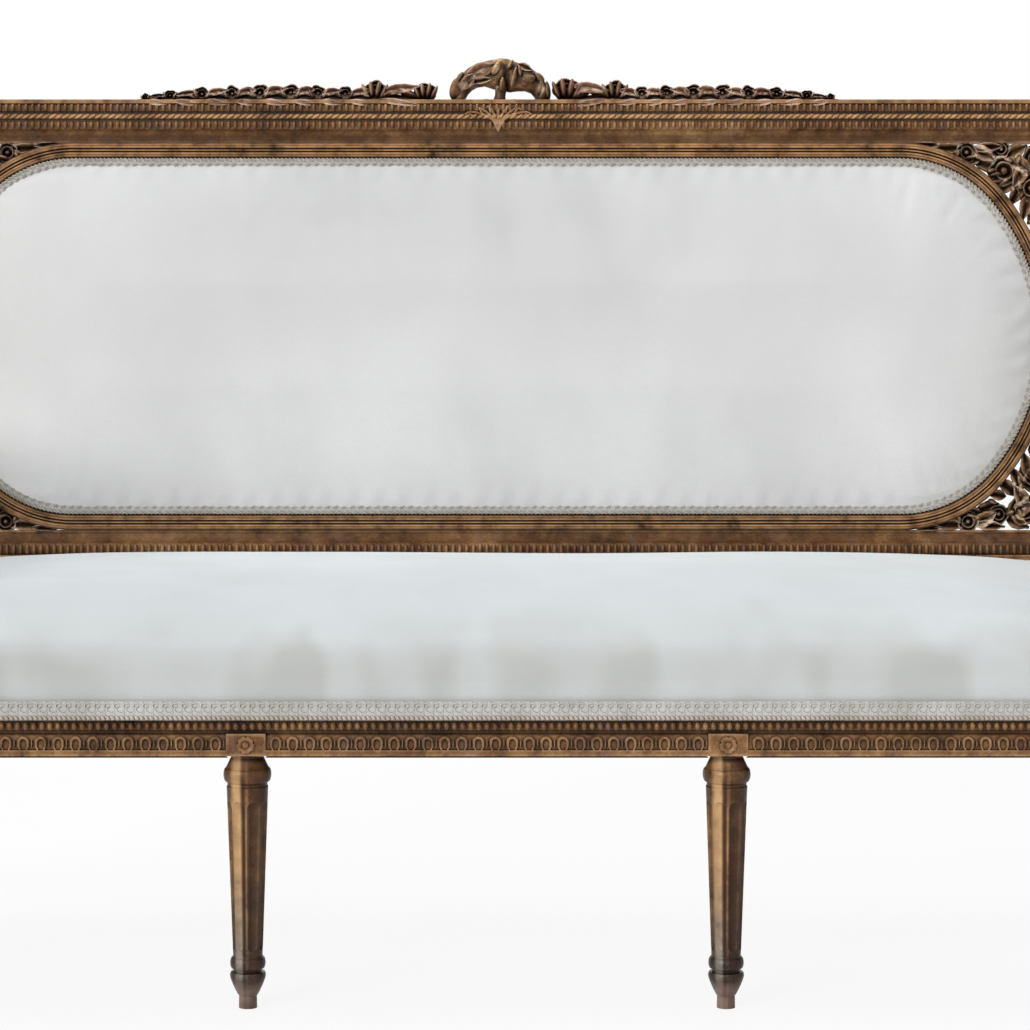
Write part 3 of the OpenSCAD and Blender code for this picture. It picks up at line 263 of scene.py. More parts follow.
# The gilding. Beech with red-brown bole and old bronze gilding over it: gold left on what
# stands out, with a painted highlight along its edges, brown where it is rubbed, and near black
# in the hollows from patina and painted shade. Painted highlights and painted shade run in
# streaks down the legs' fronts, which are grey near the foot, and a painted shadow lies in the
# top rail's cove.
def gilding(name, bole=0.25, gold=0.5, bright=0.8, hollow=0.012, patina_and_shade_range=(0.88, 0.38), lively=1.2,
            rub_and_highlight=(0.0045, "#cfa071"), foot=None, painted_shadow_band=None):
    coat = Finish(name)
    broad = coat.clouds(0.16, 3)
    patchy = coat.clouds(0.022, 4, 0.62)
    fine = coat.clouds(0.0028, 3, 0.6)
    tone = coat.node("ValToRGB", {"stops": [
        (0.3, "#2b1a0f"), (0.43, "#573a22"), (0.55, "#7f5a38"), (0.7, "#ab8359"),
        (0.86, "#d9b894")]}, {
        "Fac": (broad * 0.36 + patchy * 0.42 + fine * 0.22 - 0.5) * lively + gold * 0.3 + 0.35})
    rubbed = coat.between(coat.clouds(0.034, 5, 0.7), 0.56 - bole * 0.2, 0.74 - bole * 0.2)
    olive = coat.between(coat.clouds(0.017, 3, 0.6), 0.52, 0.68)
    smoky = coat.between(coat.clouds(0.026, 3, 0.6), 0.54, 0.7)
    # Edges take the rub colour, worn gilding and a painted highlight; crevices and hollows go near
    # black, dark patina and painted shade.
    edge = coat.between(coat.hollows(rub_and_highlight[0], inside=True), 0.97, 0.62)
    crevice_patina_and_shade = coat.between(coat.hollows(hollow * 0.35), 0.9, 0.4)
    hollow_patina_and_shade = coat.between(coat.hollows(hollow), *patina_and_shade_range)
    tone = coat.layer(
        tone, (rubbed * 0.6, "#653327"), (olive * bole * 0.9, "#6b5a31"),
        (smoky * (0.3 + bole * 0.35), "#7a6159"),
        (edge * coat.between(patchy, 0.3, 0.6) * bright, rub_and_highlight[1]),
        (crevice_patina_and_shade * 0.75, "#22130b"), (hollow_patina_and_shade * 0.95, "#150b05"))
    if foot:
        up = coat.axis("Z")
        worn = coat.between(up + patchy * 0.09, foot + 0.085, foot - 0.03)
        wear_grey_and_painted_shade = coat.mix(coat.between(fine + broad, 0.8, 1.2), "#242019", "#55504a")
        bare = coat.between(up, 0.034, 0.022) * coat.between(patchy, 0.35, 0.6, 0.4, 0.85)
        # Painted light down each leg's front: a painted highlight on the left flute, painted shade
        # on the right flute, in a narrow line and along both sides, weaker near the foot and the
        # collar.
        girth = coat.between(up, 0.05, 0.27, 0.0178, 0.0236)
        turn = coat.node("Math", {"operation": "WRAP"}, {
            0: coat.axis("X") - leg_place, 1: leg_place, 2: -leg_place}) / girth
        painted_streak_share = coat.between((coat.axis("Y") - leg_deep) / girth, 0.15, -0.45)
        painted_streak_share = painted_streak_share * coat.between(up, 0.025, 0.055, 0.25, 1)
        painted_streak_share = painted_streak_share * coat.between(up, 0.274, 0.264, 0.65, 1)
        painted_gleam = coat.between(turn, -0.82, -0.64) * coat.between(turn, -0.2, -0.36)
        line = coat.between(turn, -0.32, -0.2) * coat.between(turn, -0.02, -0.09)
        painted_shade = coat.between(turn, 0.07, 0.15) * 0.68 + line * 0.8
        rim = coat.between(abs(turn), 0.76, 0.97)
        tone = coat.layer(
            tone, (worn * (1 - hollow_patina_and_shade) * 0.8, wear_grey_and_painted_shade), (bare, "#8f766c"),
            (painted_gleam * painted_streak_share * coat.between(patchy, 0.3, 0.6, 0.5, 0.9),
             coat.mix(worn, "#cda577", "#8d877f")),
            (painted_shade * painted_streak_share, "#2c170f"), (rim * painted_streak_share * 0.8, "#1b130d"))
    if painted_shadow_band:
        # Painted shadow: a dark band across the top rail's cove, between the two heights given.
        up = coat.axis("Z") + patchy * 0.001
        band = coat.between(up, painted_shadow_band[0] - 0.001, painted_shadow_band[0] + 0.001)
        band = band * coat.between(up, painted_shadow_band[1] + 0.003, painted_shadow_band[1] - 0.001)
        tone = coat.mix(band * 0.5, tone, "#2a1506")
    height = fine * 0.35 + patchy * 0.65
    return coat.set(
        Base_Color=tone, Metallic=coat.between(hollow_patina_and_shade, 0, 0.7, 0.1, 0.02),
        Roughness=coat.between(patchy * 0.6 + fine * 0.4, 0.3, 0.7, 0.28, 0.55),
        Specular_IOR_Level=0.2, Normal=coat.bump(height, 0.0009, 0.55))


leg_place, leg_deep = 0.28, sum(corner.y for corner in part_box("mid_leg_right")) / 2
gilt_plain = gilding("gilded_rails", bright=0.6)
gilt_beads = gilding("gilded_beads", bole=0.4, gold=0.62, bright=0.75, hollow=0.006,
                     rub_and_highlight=(0.0014, "#cfa57c"))
gilt_carved = gilding(
    "gilded_carving", bole=0.75, gold=0.92, bright=1.0, hollow=0.017, patina_and_shade_range=(0.96, 0.5),
    lively=2.7, rub_and_highlight=(0.0018, "#ead0b6"))
gilt_rosy = gilding(
    "gilded_garlands", bole=1.25, gold=0.8, bright=0.9, hollow=0.017, patina_and_shade_range=(0.92, 0.45),
    lively=2.2, rub_and_highlight=(0.0018, "#dcbba6"))
gilt_leg = gilding(
    "gilded_legs", bole=0.5, gold=0.52, bright=0.4, hollow=0.01, patina_and_shade_range=(0.99, 0.66),
    rub_and_highlight=(0.0045, "#d3ac84"), foot=0.13)


def dress(names, material):
    """Gives CAD nodes their finish."""
    for name in names.split():
        for place in nodes[name].material_slots:
            place.material = material


dress("front_rail side_rail_left side_rail_right rear_post_left rear_post_right lower_rail "
      "oval_moulding_top oval_moulding_bottom oval_moulding_left oval_moulding_right "
      "arm_left arm_right arm_support_left arm_support_right", gilt_plain)
dress("front_leg_left front_leg_right mid_leg_left mid_leg_right", gilt_leg)


# Beads. The commonest ornament on the frame: an oval boss carved on an astragal, its back lost
# in the wood. Modelled one metre across and facing the front, and copied down to size.
def alone(piece):
    """Selects one piece and nothing else."""
    bpy.ops.object.select_all(action="DESELECT")
    bpy.context.view_layer.objects.active = piece
    piece.select_set(True)


def take(piece, picked="DESELECT"):
    """Opens one mesh for editing, with nothing or all of it picked."""
    alone(piece)
    bpy.ops.object.mode_set(mode="EDIT")
    bpy.ops.mesh.select_all(action=picked)


def pick(piece, test):
    """Picks the points of an open mesh that pass a test of their place."""
    mesh = bmesh.from_edit_mesh(piece.data)
    for point in mesh.verts:
        point.select = test(point.co)
    mesh.select_flush_mode()
    bmesh.update_edit_mesh(piece.data)


def leave():
    """Closes the mesh after editing."""
    bpy.ops.object.mode_set(mode="OBJECT")


bead = fresh(bpy.ops.mesh.primitive_ico_sphere_add, subdivisions=2, radius=0.5)
take(bead)
pick(bead, lambda p: p.y > 0.12)
bpy.ops.mesh.delete(type="VERT")
leave()
bpy.ops.object.shade_smooth()


# Front and side seat rails. A row of beads under the upholstery, and below a cove a row of small
# arches with a dart between each two, left out over the middle legs, all carved in the rails.
def at(x, y, z):
    return Matrix.Translation((x, y, z))


def turned(axis, degrees):
    return Matrix.Rotation(math.radians(degrees), 4, axis)


def sized(x, y, z):
    return Matrix.Diagonal((x, y, z, 1))


def spaced(low, high, pitch):
    """Even places from one end of a row to the other."""
    count = max(1, round((high - low) / pitch))
    return [low + (high - low) * (i + 0.5) / count for i in range(count)]


def copies(model, places, name):
    """One piece of many copies of a modelled ornament, each turned and set in its place."""
    whole = bmesh.new()
    for place in places:
        one = model.data.copy()
        one.transform(place)
        if place.determinant() < 0:
            one.flip_normals()
        whole.from_mesh(one)
        bpy.data.meshes.remove(one)
    made = linked(name, bpy.data.meshes.new(name))
    whole.to_mesh(made.data)
    whole.free()
    return made


def gather(bits, name):
    """Joins several into one piece."""
    bpy.ops.object.select_all(action="DESELECT")
    for bit in bits:
        bit.select_set(True)
    bpy.context.view_layer.objects.active = bits[0]
    bpy.ops.object.join()
    bits[0].name = bits[0].data.name = name
    return bits[0]


def settle(piece, material, slot, *stands_for):
    """Gives a finished piece its finish and its body, and hides what it stands for. Its slot is
    not used.
    """
    piece.data.materials.clear()
    piece.data.materials.append(material)
    alone(piece)
    bpy.ops.object.shade_smooth_by_angle(angle=math.radians(50))
    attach(piece, "root")
    if stands_for:
        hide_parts(*stands_for)


def drawn_out(*way):
    """Extrudes the picked edges into new faces."""
    bpy.ops.mesh.extrude_edges_move(TRANSFORM_OT_translate={"value": way})


def mirrored(places):
    """The same places on the other side of the sofa."""
    return [sized(-1, 1, 1) @ place for place in places]


arch_pitch, bead_pitch, carved_depth = 0.0199, 0.0094, 0.0042
bead_z, arch_z = rail_face.z + 0.0349, rail_face.z + 0.0162
leg_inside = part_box("front_leg_right")[0].x
arch = fresh(bpy.ops.mesh.primitive_torus_add, major_segments=16, minor_segments=6,
             major_radius=0.0053, minor_radius=0.0019)
take(arch, "SELECT")
bpy.ops.mesh.bisect(plane_co=(0, 0, 0), plane_no=(0, -1, 0), clear_outer=True)
pick(arch, lambda p: abs(p.y) < 0.0001)
drawn_out(0, -0.005, 0)
drawn_out(0, -0.0042, 0)
bpy.ops.transform.resize(value=(0.62, 1, 1))
leave()
dart = fresh(bpy.ops.mesh.primitive_ico_sphere_add, subdivisions=1, radius=1,
             location=(arch_pitch / 2, -0.002, 0))
dart.scale = (0.0012, 0.0058, 0.0018)
bpy.ops.object.transform_apply(location=True, rotation=False, scale=True)
arch = gather([arch, dart], "arch")
arch.data.transform(turned("X", 90))
side_x, side_run, side_slope = 0.868, 0.5216, 5.721
side_start = Vector((side_x, rail_face.y + 0.056, 0))
side_frame = at(*side_start) @ turned("Z", 90 + side_slope)
dado, dado_wide = leg_place + 0.025, 0.05
bays = [(-leg_inside, -dado), (-dado + dado_wide, dado - dado_wide), (dado, leg_inside)]
for part, model, z, pitch, size, spans in (
        ("beads", bead, bead_z, bead_pitch, sized(0.0072, 0.0098, 0.0102),
         [(-leg_inside, leg_inside)]),
        ("arches", arch, arch_z, arch_pitch, sized(1, 1, 1), bays)):
    places = [at(x, rail_face.y + carved_depth, z) @ size
              for low, high in spans for x in spaced(low, high, pitch)]
    settle(copies(model, places, "front_rail_" + part), gilt_beads, "gilt_wood")
    places = [side_frame @ at(along, carved_depth, z) @ size
              for along in spaced(0, side_run, pitch)]
    settle(copies(model, places, "side_rail_right_" + part), gilt_beads, "gilt_wood")
    settle(copies(model, mirrored(places), "side_rail_left_" + part), gilt_beads, "gilt_wood")
bpy.data.objects.remove(arch)

# Top and lower back rails. Moulded beech between the posts. The top rail carries two rows of
# beads with a twisted reed between them, and the lower rail one row of tall narrow beads.
seat_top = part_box("rear_rail")[1].z
hinge = Vector((0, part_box("rear_rail")[0].y, seat_top))
rake = 4
lean = at(*hinge) @ turned("X", -rake) @ at(0, 0, -seat_top)
oval_z, oval_rise = 0.769, 0.2375
rail_top = oval_z + oval_rise + 0.021 + 0.057
rail_low = oval_z - oval_rise - 0.021 - 0.04
post_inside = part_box("rear_post_right")[0].x
# The heights of the painted shadow band in the top rail's cove.
cove = [(lean @ Vector((0, 0.01, rail_top - drop))).z for drop in (0.0562, 0.047)]
dress("top_rail", gilding("gilded_top_rail", gold=0.62, bright=0.6, patina_and_shade_range=(0.8, 0.3), painted_shadow_band=cove))
for name, z, depth, pitch, size in (
        ("top_rail_upper_beads", rail_top - 0.011, 0.0026, 0.0087, (0.0058, 0.008, 0.0112)),
        ("top_rail_lower_beads", rail_top - 0.0342, 0.003, 0.0087, (0.0058, 0.008, 0.0112)),
        ("lower_rail_beads", rail_low + 0.015, 0.0034, 0.009, (0.0058, 0.008, 0.0146))):
    places = [lean @ at(x, depth, z) @ sized(*size)
              for x in spaced(-post_inside, post_inside, pitch)]
    settle(copies(bead, places, name), gilt_beads, "gilt_wood")
places = [lean @ at(x, 0.003, rail_top - 0.0225) @ turned("Y", 62) @ sized(0.0048, 0.0056, 0.0124)
          for x in spaced(-post_inside, post_inside, 0.0088)]
settle(copies(bead, places, "top_rail_reed"),
       gilding("gilded_reed", gold=0.9, bright=0.8), "gilt_wood")


# Oval moulding. Three fine reeds run round in its cove, the middle one sunk deepest, so that
# the moulding shows as narrow ridges with dark lines between them.
def stem(points, widths, flat=1.0, closed=False, steps=4):
    """A carved rod through points on the face, thick as each width says."""
    curve = bpy.data.curves.new("stem", "CURVE")
    curve.dimensions, curve.bevel_depth, curve.bevel_resolution = "3D", 1, 1 if closed else 2
    curve.use_fill_caps = not closed
    line = curve.splines.new("NURBS")
    line.points.add(len(points) - 1)
    line.use_endpoint_u, line.order_u, line.resolution_u = not closed, 3, steps
    line.use_cyclic_u = closed
    for point, (x, z), width in zip(line.points, points, widths):
        point.co, point.radius = (x, z, 0, 1), width / 2
    alone(linked("stem", curve))
    bpy.ops.object.convert(target="MESH")
    made = bpy.context.object
    made.data.transform(sized(1, 1, flat))
    return made


corner_x, corner_arc = 0.55, 0.16
end_x, end_arc, end_turn = 0.4567, 0.2813, 39.7


def oval_line(inset):
    """The oval's edge on the upright back, anticlockwise: a wide arc at each end, a closer one
    at each corner."""
    quarter = [(end_x + (end_arc - inset) * math.cos(a), (end_arc - inset) * math.sin(a))
               for a in [math.radians(end_turn * k / 24) for k in range(24)]]
    quarter += [(corner_x + (corner_arc - inset) * math.cos(a),
                 oval_rise - corner_arc + (corner_arc - inset) * math.sin(a))
                for a in [math.radians(end_turn + (90 - end_turn) * k / 20) for k in range(21)]]
    half = quarter + [(-x, z) for x, z in reversed(quarter)]
    return half + [(x, -z) for x, z in reversed(half)]


facing = turned("X", 90)
for part, out, deep, width in (
        ("inner", 0.0062, 0.0042, 0.0034), ("middle", 0.0105, 0.005, 0.003),
        ("outer", 0.0148, 0.0042, 0.0034)):
    ring = oval_line(-out)
    reed = stem(ring, [width] * len(ring), closed=True, steps=1)
    reed.data.transform(lean @ at(0, deep, oval_z) @ facing)
    reed.name = reed.data.name = "oval_reed_" + part
    settle(reed, gilt_plain, "gilt_wood")


# Roses, leaves and buds. The carver's three forms for the spandrels and the cresting, modelled
# flat with their faces up: a full rose of three rings of petals, a leaf with a sunk rib and a
# lobed edge, and a half-open bud.
def shape(piece, move):
    """Moves every point of a mesh to where a rule puts it."""
    for point in piece.data.vertices:
        point.co = move(point.co.copy())


def apply(piece, kind, **settings):
    """Adds a modifier and applies it."""
    alone(piece)
    made = piece.modifiers.new(kind.lower(), kind)
    for key, value in settings.items():
        setattr(made, key, value)
    bpy.ops.object.modifier_apply(modifier=made.name)


petals = 5
wide, high = 0.8, 0
rose = fresh(bpy.ops.mesh.primitive_circle_add, vertices=20, radius=wide)
take(rose, "SELECT")
for next_wide, next_high in (
        (1, .14), (1, .34), (.84, .38), (.66, .12), (.58, .1), (.62, .42), (.5, .44), (.34, .04),
        (.26, .02), (.24, .3), (.12, .36)):
    drawn_out(0, 0, next_high - high)
    bpy.ops.transform.resize(value=(next_wide / wide, next_wide / wide, 1))
    wide, high = next_wide, next_high
bpy.ops.mesh.edge_face_add()
bpy.ops.mesh.inset(thickness=0.04, depth=0.02)
bpy.ops.mesh.select_all(action="SELECT")
bpy.ops.mesh.normals_make_consistent(inside=False)
leave()


def petal(place):
    """Parts a ring of the rose into petals, each ring's gaps between those of the next."""
    far = math.hypot(place.x, place.y)
    ring = 0 if far > 0.6 else 1 if far > 0.3 else 2
    gap = abs(math.cos((math.atan2(place.y, place.x) + ring * 0.6) * petals / 2)) ** 6
    return Vector((place.x * (1 - 0.16 * gap), place.y * (1 - 0.16 * gap),
                   place.z - 0.1 * gap * (ring < 2)))


shape(rose, petal)
apply(rose, "SUBSURF", levels=1)

leaf = fresh(bpy.ops.mesh.primitive_grid_add, x_subdivisions=8, y_subdivisions=6, size=2)


def leafy(place):
    """A flat grid's point as a leaf's: pointed, ribbed, with lobes and a tip that curls over."""
    along = (place.x + 1) / 2
    lobe = math.cos(along * math.pi * 6)
    wide = math.sin(math.pi * along ** 0.8) ** 0.75 * (0.92 + 0.08 * lobe)
    rib = 1 - abs(place.y)
    lift = 0.42 * math.sin(math.pi * along) * (1 - 0.85 * rib ** 3) + 0.16 * along ** 3
    return Vector((along - 0.5, place.y * wide * 0.5, lift + 0.05 * lobe * (1 - rib)))


shape(leaf, leafy)
apply(leaf, "SOLIDIFY", thickness=0.16, offset=-1)
apply(leaf, "SUBSURF", levels=1)

bud = fresh(bpy.ops.mesh.primitive_uv_sphere_add, segments=12, ring_count=8, radius=0.5)


def budding(place):
    """An oval bud, pointed at its far end, with grooves where its leaves part."""
    turn = math.atan2(place.z, place.y)
    groove = 1 - 0.22 * abs(math.cos(turn * 1.5)) ** 6
    taper = (1 - 0.35 * (place.x + 0.5)) * groove
    return Vector((place.x, place.y * taper, place.z * taper))


bud.data.transform(turned("Y", 90))
shape(bud, budding)
apply(bud, "SUBSURF", levels=1)

# Spandrels. One pierced and carved board in each corner round the oval: roses, leaves that run
# along the rail and the post, buds between them and stems that hold all together. Marked in
# shares of the board's side, from its corner: along the rail, along the post, turn and size.
reach = 0.209
rose_marks = {
    "top": [(.565, .062, .076), (.325, .18, .112), (.345, .04, .066), (.12, .105, .1),
            (.15, .29, .108), (.085, .47, .1), (.062, .645, .072)],
    "bottom": [(.565, .055, .076), (.205, .13, .112), (.37, .1, .07), (.07, .25, .09),
               (.15, .34, .108), (.085, .5, .1), (.062, .66, .072)]}
leaf_marks = [
    (.7, .04, 184, .26, .075), (.82, .018, 182, .2, .045), (.46, .07, 150, .16, .085),
    (.45, .135, 340, .18, .08), (.53, .115, 200, .14, .06), (.43, .03, 185, .18, .06),
    (.25, .05, 205, .15, .08), (.22, .14, 150, .15, .085), (.23, .215, 60, .15, .08),
    (.31, .275, 35, .17, .075), (.38, .225, 10, .12, .06), (.05, .19, 95, .16, .085),
    (.25, .33, 60, .16, .07), (.06, .34, 80, .14, .08), (.19, .41, 75, .17, .075),
    (.04, .05, 45, .13, .08), (.03, .56, 92, .17, .07), (.13, .56, 75, .16, .065),
    (.04, .76, 93, .26, .07), (.1, .7, 100, .14, .05), (.02, .87, 91, .18, .04)]
bud_marks = [(.47, .035, .028), (.235, .105, .032), (.2, .2, .03), (.05, .39, .034),
             (.23, .27, .03), (.05, .02, .036), (.63, .08, .026), (.12, .64, .028),
             (.41, .18, .028), (.145, .2, .03), (.3, .11, .028), (.16, .5, .028)]
branch = [(.88, .015), (.6, .065), (.36, .12), (.14, .14), (.12, .36), (.06, .6), (.015, .9)]
sprays = {}


def posed(x, z, out, angle, long, wide, thick):
    """A place on the face, with a turn in its plane and a size."""
    return at(x, z, out) @ turned("Z", angle) @ sized(long, wide, thick)


for level, marks in rose_marks.items():
    sprays[level] = gather([
        copies(rose, [posed(x, z, 0.012, 40 * i, wide, wide, 0.105)
                      for i, (x, z, wide) in enumerate(marks)], "roses"),
        copies(leaf, [posed(x, z, 0.004 + 0.01 * (i % 3), angle, long * 1.12, wide * 1.3, 0.13)
                      for i, (x, z, angle, long, wide) in enumerate(leaf_marks)], "leaves"),
        copies(bud, [posed(x, z, 0.045, 70 * i, wide * 2.2, wide * 1.7, 0.08)
                     for i, (x, z, wide) in enumerate(bud_marks)], "buds"),
        stem(branch, [0.02, 0.035, 0.04, 0.045, 0.04, 0.035, 0.02], 0.9)], "spray")
for side, across in (("left", -1), ("right", 1)):
    for level, up, z in (("bottom", 1, rail_low + 0.04), ("top", -1, rail_top - 0.057)):
        corner = lean @ at(across * post_inside, 0.0221, z) @ sized(-across, 1, up)
        piece = copies(sprays[level], [corner @ facing @ sized(reach, reach, reach)],
                       "carved_spandrel_%s_%s" % (level, side))
        settle(piece, gilt_carved, "gilt_wood", "spandrel_%s_%s" % (level, side))
for spray in sprays.values():
    bpy.data.objects.remove(spray)

# Cresting. A ribbon bow arched over two openings, a smooth leaf on the left and petals on the
# right of it, a palmette under it on the rail's face, and a garland that dies away on each side.
crest = lean @ at(0.015, 0.027, rail_top)
outer_edge = [(-.064, -.004), (-.062, .014), (-.052, .034), (-.041, .044), (-.028, .051),
              (-.012, .055), (.004, .058), (.014, .057), (.026, .052), (.038, .048),
              (.05, .04), (.061, .029), (.069, .015), (.07, -.004)]
inner_edge = [(-.045, -.004), (-.044, .003), (-.04, .01), (-.035, .015), (-.028, .019),
              (-.018, .0205), (-.006, .0165), (.006, .0145), (.016, .0125), (.026, .014),
              (.036, .014), (.044, .011), (.049, .005), (.05, -.004)]
bow = fresh(bpy.ops.mesh.primitive_grid_add, x_subdivisions=39, y_subdivisions=8, size=2)


def arched(place):
    """A flat grid's point on the bow's band, which is domed across and folded along."""
    along = (place.x + 1) / 2 * (len(outer_edge) - 1)
    i = min(int(along), len(outer_edge) - 2)
    low = Vector(inner_edge[i]).lerp(inner_edge[i + 1], along - i)
    high = Vector(outer_edge[i]).lerp(outer_edge[i + 1], along - i)
    spot = low.lerp(high, (place.y + 1) / 2)
    dome = math.sqrt(max(0, 1 - (place.y * 0.97) ** 2))
    folds = 0.0022 * math.cos(along * 2.6 + place.y * 2.2)
    knot = 0.01 * math.exp(-((spot.x - 0.0105) / 0.0048) ** 2)
    return Vector((spot.x, spot.y, 0.0105 * dome + folds * dome - knot * dome))


shape(bow, arched)
take(bow)
bpy.ops.mesh.select_non_manifold()
drawn_out(0, 0, -0.01)
bpy.ops.mesh.edge_face_add()
bpy.ops.mesh.select_all(action="SELECT")
bpy.ops.mesh.normals_make_consistent(inside=False)
leave()
post = stem([(.001, -.006), (.002, .002), (.003, .01), (.004, .02)],
            [.021, .0165, .013, .018], 0.8)


def strewn(model, thick, marks):
    """Copies of a form on the bow: where and how far out, its turn, length and width."""
    return copies(model, [posed(*mark, thick) for mark in marks], "strewn")


bow_leaves = strewn(leaf, 0.016, (
    (-.023, .04, .0085, 22, .05, .022), (-.04, .026, .0085, 52, .03, .018),
    (-.021, .027, .0085, 10, .03, .011), (.036, .045, .0065, -24, .024, .012),
    (-.013, -.002, .004, 165, .024, .009), (.019, -.002, .004, 12, .024, .009)))
bow_buds = strewn(bud, 0.014, (
    (-.058, .016, .008, 82, .03, .021), (-.051, .032, .008, 60, .016, .011),
    (-.003, .044, .012, 60, .022, .013), (.0165, .049, .01, 60, .014, .009),
    (.021, .032, .012, 76, .028, .01), (.029, .04, .011, 100, .016, .009),
    (.04, .028, .012, 20, .022, .018), (.055, .031, .009, 130, .018, .013),
    (.056, .017, .009, 80, .022, .013), (.066, .014, .007, 95, .026, .011),
    (.005, .022, .01, 85, .02, .011), (-.033, .021, .01, 20, .012, .008)))
piece = gather([bow, post, bow_leaves, bow_buds], "carved_bow")
piece.data.transform(crest @ facing)
settle(piece, gilt_carved, "gilt_wood", "crest_bow")

fronds = []
for i in range(-3, 4):
    lean_out, long = math.radians(17 * i), 0.037 + 0.003 * abs(i)
    trail = [(math.sin(lean_out * t) * long * t * 1.15,
              -0.043 + math.cos(lean_out * t) * long * t * 0.92) for t in (0, 0.3, 0.55, 0.8, 1)]
    tip_x, tip_z = trail[-1]
    trail.append((tip_x + (0.003 if i > 0 else -0.003 if i < 0 else 0), tip_z - 0.004))
    fronds.append(stem(trail, [0.002, 0.003, 0.0042, 0.0038, 0.003, 0.0022], 0.7))
    if i:
        fronds.append(copies(bud, [posed(
            tip_x * 0.84, tip_z - 0.0055, 0, 90 - 17 * i, 0.011, 0.0042, 0.006)], "tip"))
palmette = gather(fronds, "carved_palmette")
palmette.data.transform(lean @ at(0.015, 0.0016, rail_top) @ facing)
settle(palmette, gilt_beads, "gilt_wood", "crest_leaf")

bloom_shares = [.193, .328, .405, .477, .55, .632, .705, .785, .87, .936]
bloom_heights = [.031, .027, .019, .021, .023, .022, .02, .019, .015, .01]
for side, across, run, front in (("left", -1, 0.505, 0.024), ("right", 1, 0.475, 0.03)):
    blooms, leafing, budded = [], [], []
    for i, (share, high) in enumerate(zip(bloom_shares, bloom_heights)):
        x = across * share * run
        high *= front / 0.03 if i == 0 else 1
        blooms.append(posed(x, high * 0.46, 0, 47 * i, high * 0.66, high * 0.56, 0.024))
        petals_here = ((-0.46, 0.46, 0.36), (-0.16, 0.56, 0.4), (0.18, 0.55, 0.42),
                       (0.48, 0.44, 0.36))
        for lean_x, rise, wide in petals_here if i in (0, 1) else petals_here[::3]:
            budded.append(posed(x + lean_x * high, high * rise, 0.008, 90 - lean_x * 50,
                                high * 0.86, high * wide, 0.02))
        if i < len(bloom_shares) - 1:
            gap, flip = (bloom_shares[i + 1] - share) * run, 180 * (i % 2)
            between, low_high = x + across * gap / 2, min(high, bloom_heights[i + 1])
            for off, turn, rise, big in ((-0.16, 24, 0.42, 0.62), (0.18, -20, 0.4, 0.6)):
                budded.append(posed(
                    x + across * gap * (0.5 + off), low_high * rise, 0.006,
                    across * turn + flip, gap * 0.52, low_high * big, 0.024))
            leafing.append(posed(between, low_high * 0.62, 0.01, across * -8 + flip,
                                 gap * 0.8, low_high * 0.62, 0.013))
            leafing.append(posed(between, -0.004, 0.0225, across * 8 + flip,
                                 gap * 0.95, 0.01, 0.01))
    low = stem([(across * 0.09, 0.001), (across * 0.16, 0.004), (across * 0.4, 0.0025),
                (across * run, -0.0005)], [0.01, 0.02, 0.017, 0.003], 1)
    piece = gather([copies(rose, blooms, "blooms"), copies(leaf, leafing, "leafing"),
                    copies(bud, budded, "budded"), low], "carved_garland_" + side)
    piece.data.transform(crest @ facing)
    settle(piece, gilt_rosy, "gilt_wood", "crest_garland_" + side)
for model in (bead, rose, leaf, bud):
    bpy.data.objects.remove(model)


# The hidden work under the seat. Jute webbing and hessian carry twenty-seven steel springs
# between the rails, with struts, glued corner blocks and screws of raw beech and steel, and a
# black cotton cloth is tacked over the underside.
def threads(name, light, dark, size, depth):
    cloth = Finish(name)
    warp, weft = [cloth.node("TexWave", {"bands_direction": way}, {
        "Vector": cloth.place(), "Scale": 1 / size, "Distortion": 1.2, "Detail": 2}, out="Fac")
        for way in "XY"]
    weave = warp * 0.5 + weft * 0.5
    tone = cloth.mix(cloth.between(weave + cloth.clouds(0.03, 3) * 0.6, 0.4, 1.1), dark, light)
    return cloth.set(Base_Color=tone, Roughness=cloth.between(weave, 0.2, 0.8, 0.85, 0.95),
                     Specular_IOR_Level=0.2, Normal=cloth.bump(weave, depth, 0.6))


def timber(name):
    wood = Finish(name)
    grain = wood.clouds(0.012, 4, 0.6, wood.place((0.06, 1, 1)))
    fleck = wood.clouds(0.0012, 2, 0.5, wood.place((0.2, 1, 1)))
    tone = wood.mix(wood.between(grain, 0.35, 0.65), "#a5825a", "#c6a579")
    tone = wood.mix(wood.between(fleck, 0.6, 0.75) * 0.35, tone, "#7c5a3a")
    return wood.set(Base_Color=tone, Roughness=wood.between(grain, 0.3, 0.7, 0.62, 0.78),
                    Normal=wood.bump(fleck * 0.6 + grain * 0.4, 0.0005, 0.5))


def plated(name):
    metal = Finish(name)
    haze = metal.clouds(0.006, 3)
    tone = metal.mix(metal.between(haze, 0.35, 0.7), "#7d8083", "#a4a7a9")
    tone = metal.mix(metal.between(metal.clouds(0.02, 4, 0.7), 0.6, 0.8) * 0.5, tone, "#6a4c38")
    return metal.set(Base_Color=tone, Metallic=0.9,
                     Roughness=metal.between(haze, 0.3, 0.7, 0.32, 0.55))


dress("rear_rail seat_struts corner_blocks", timber("raw_beech"))
dress("corner_screws seat_springs", plated("plain_steel"))
jute = threads("jute_weave", "#c3ae85", "#8e7850", 0.0024, 0.0008)
dress("seat_webbing seat_hessian back_webbing back_hessian", jute)
black_cotton = threads("black_cotton", "#464443", "#2a2928", 0.0011, 0.0004)
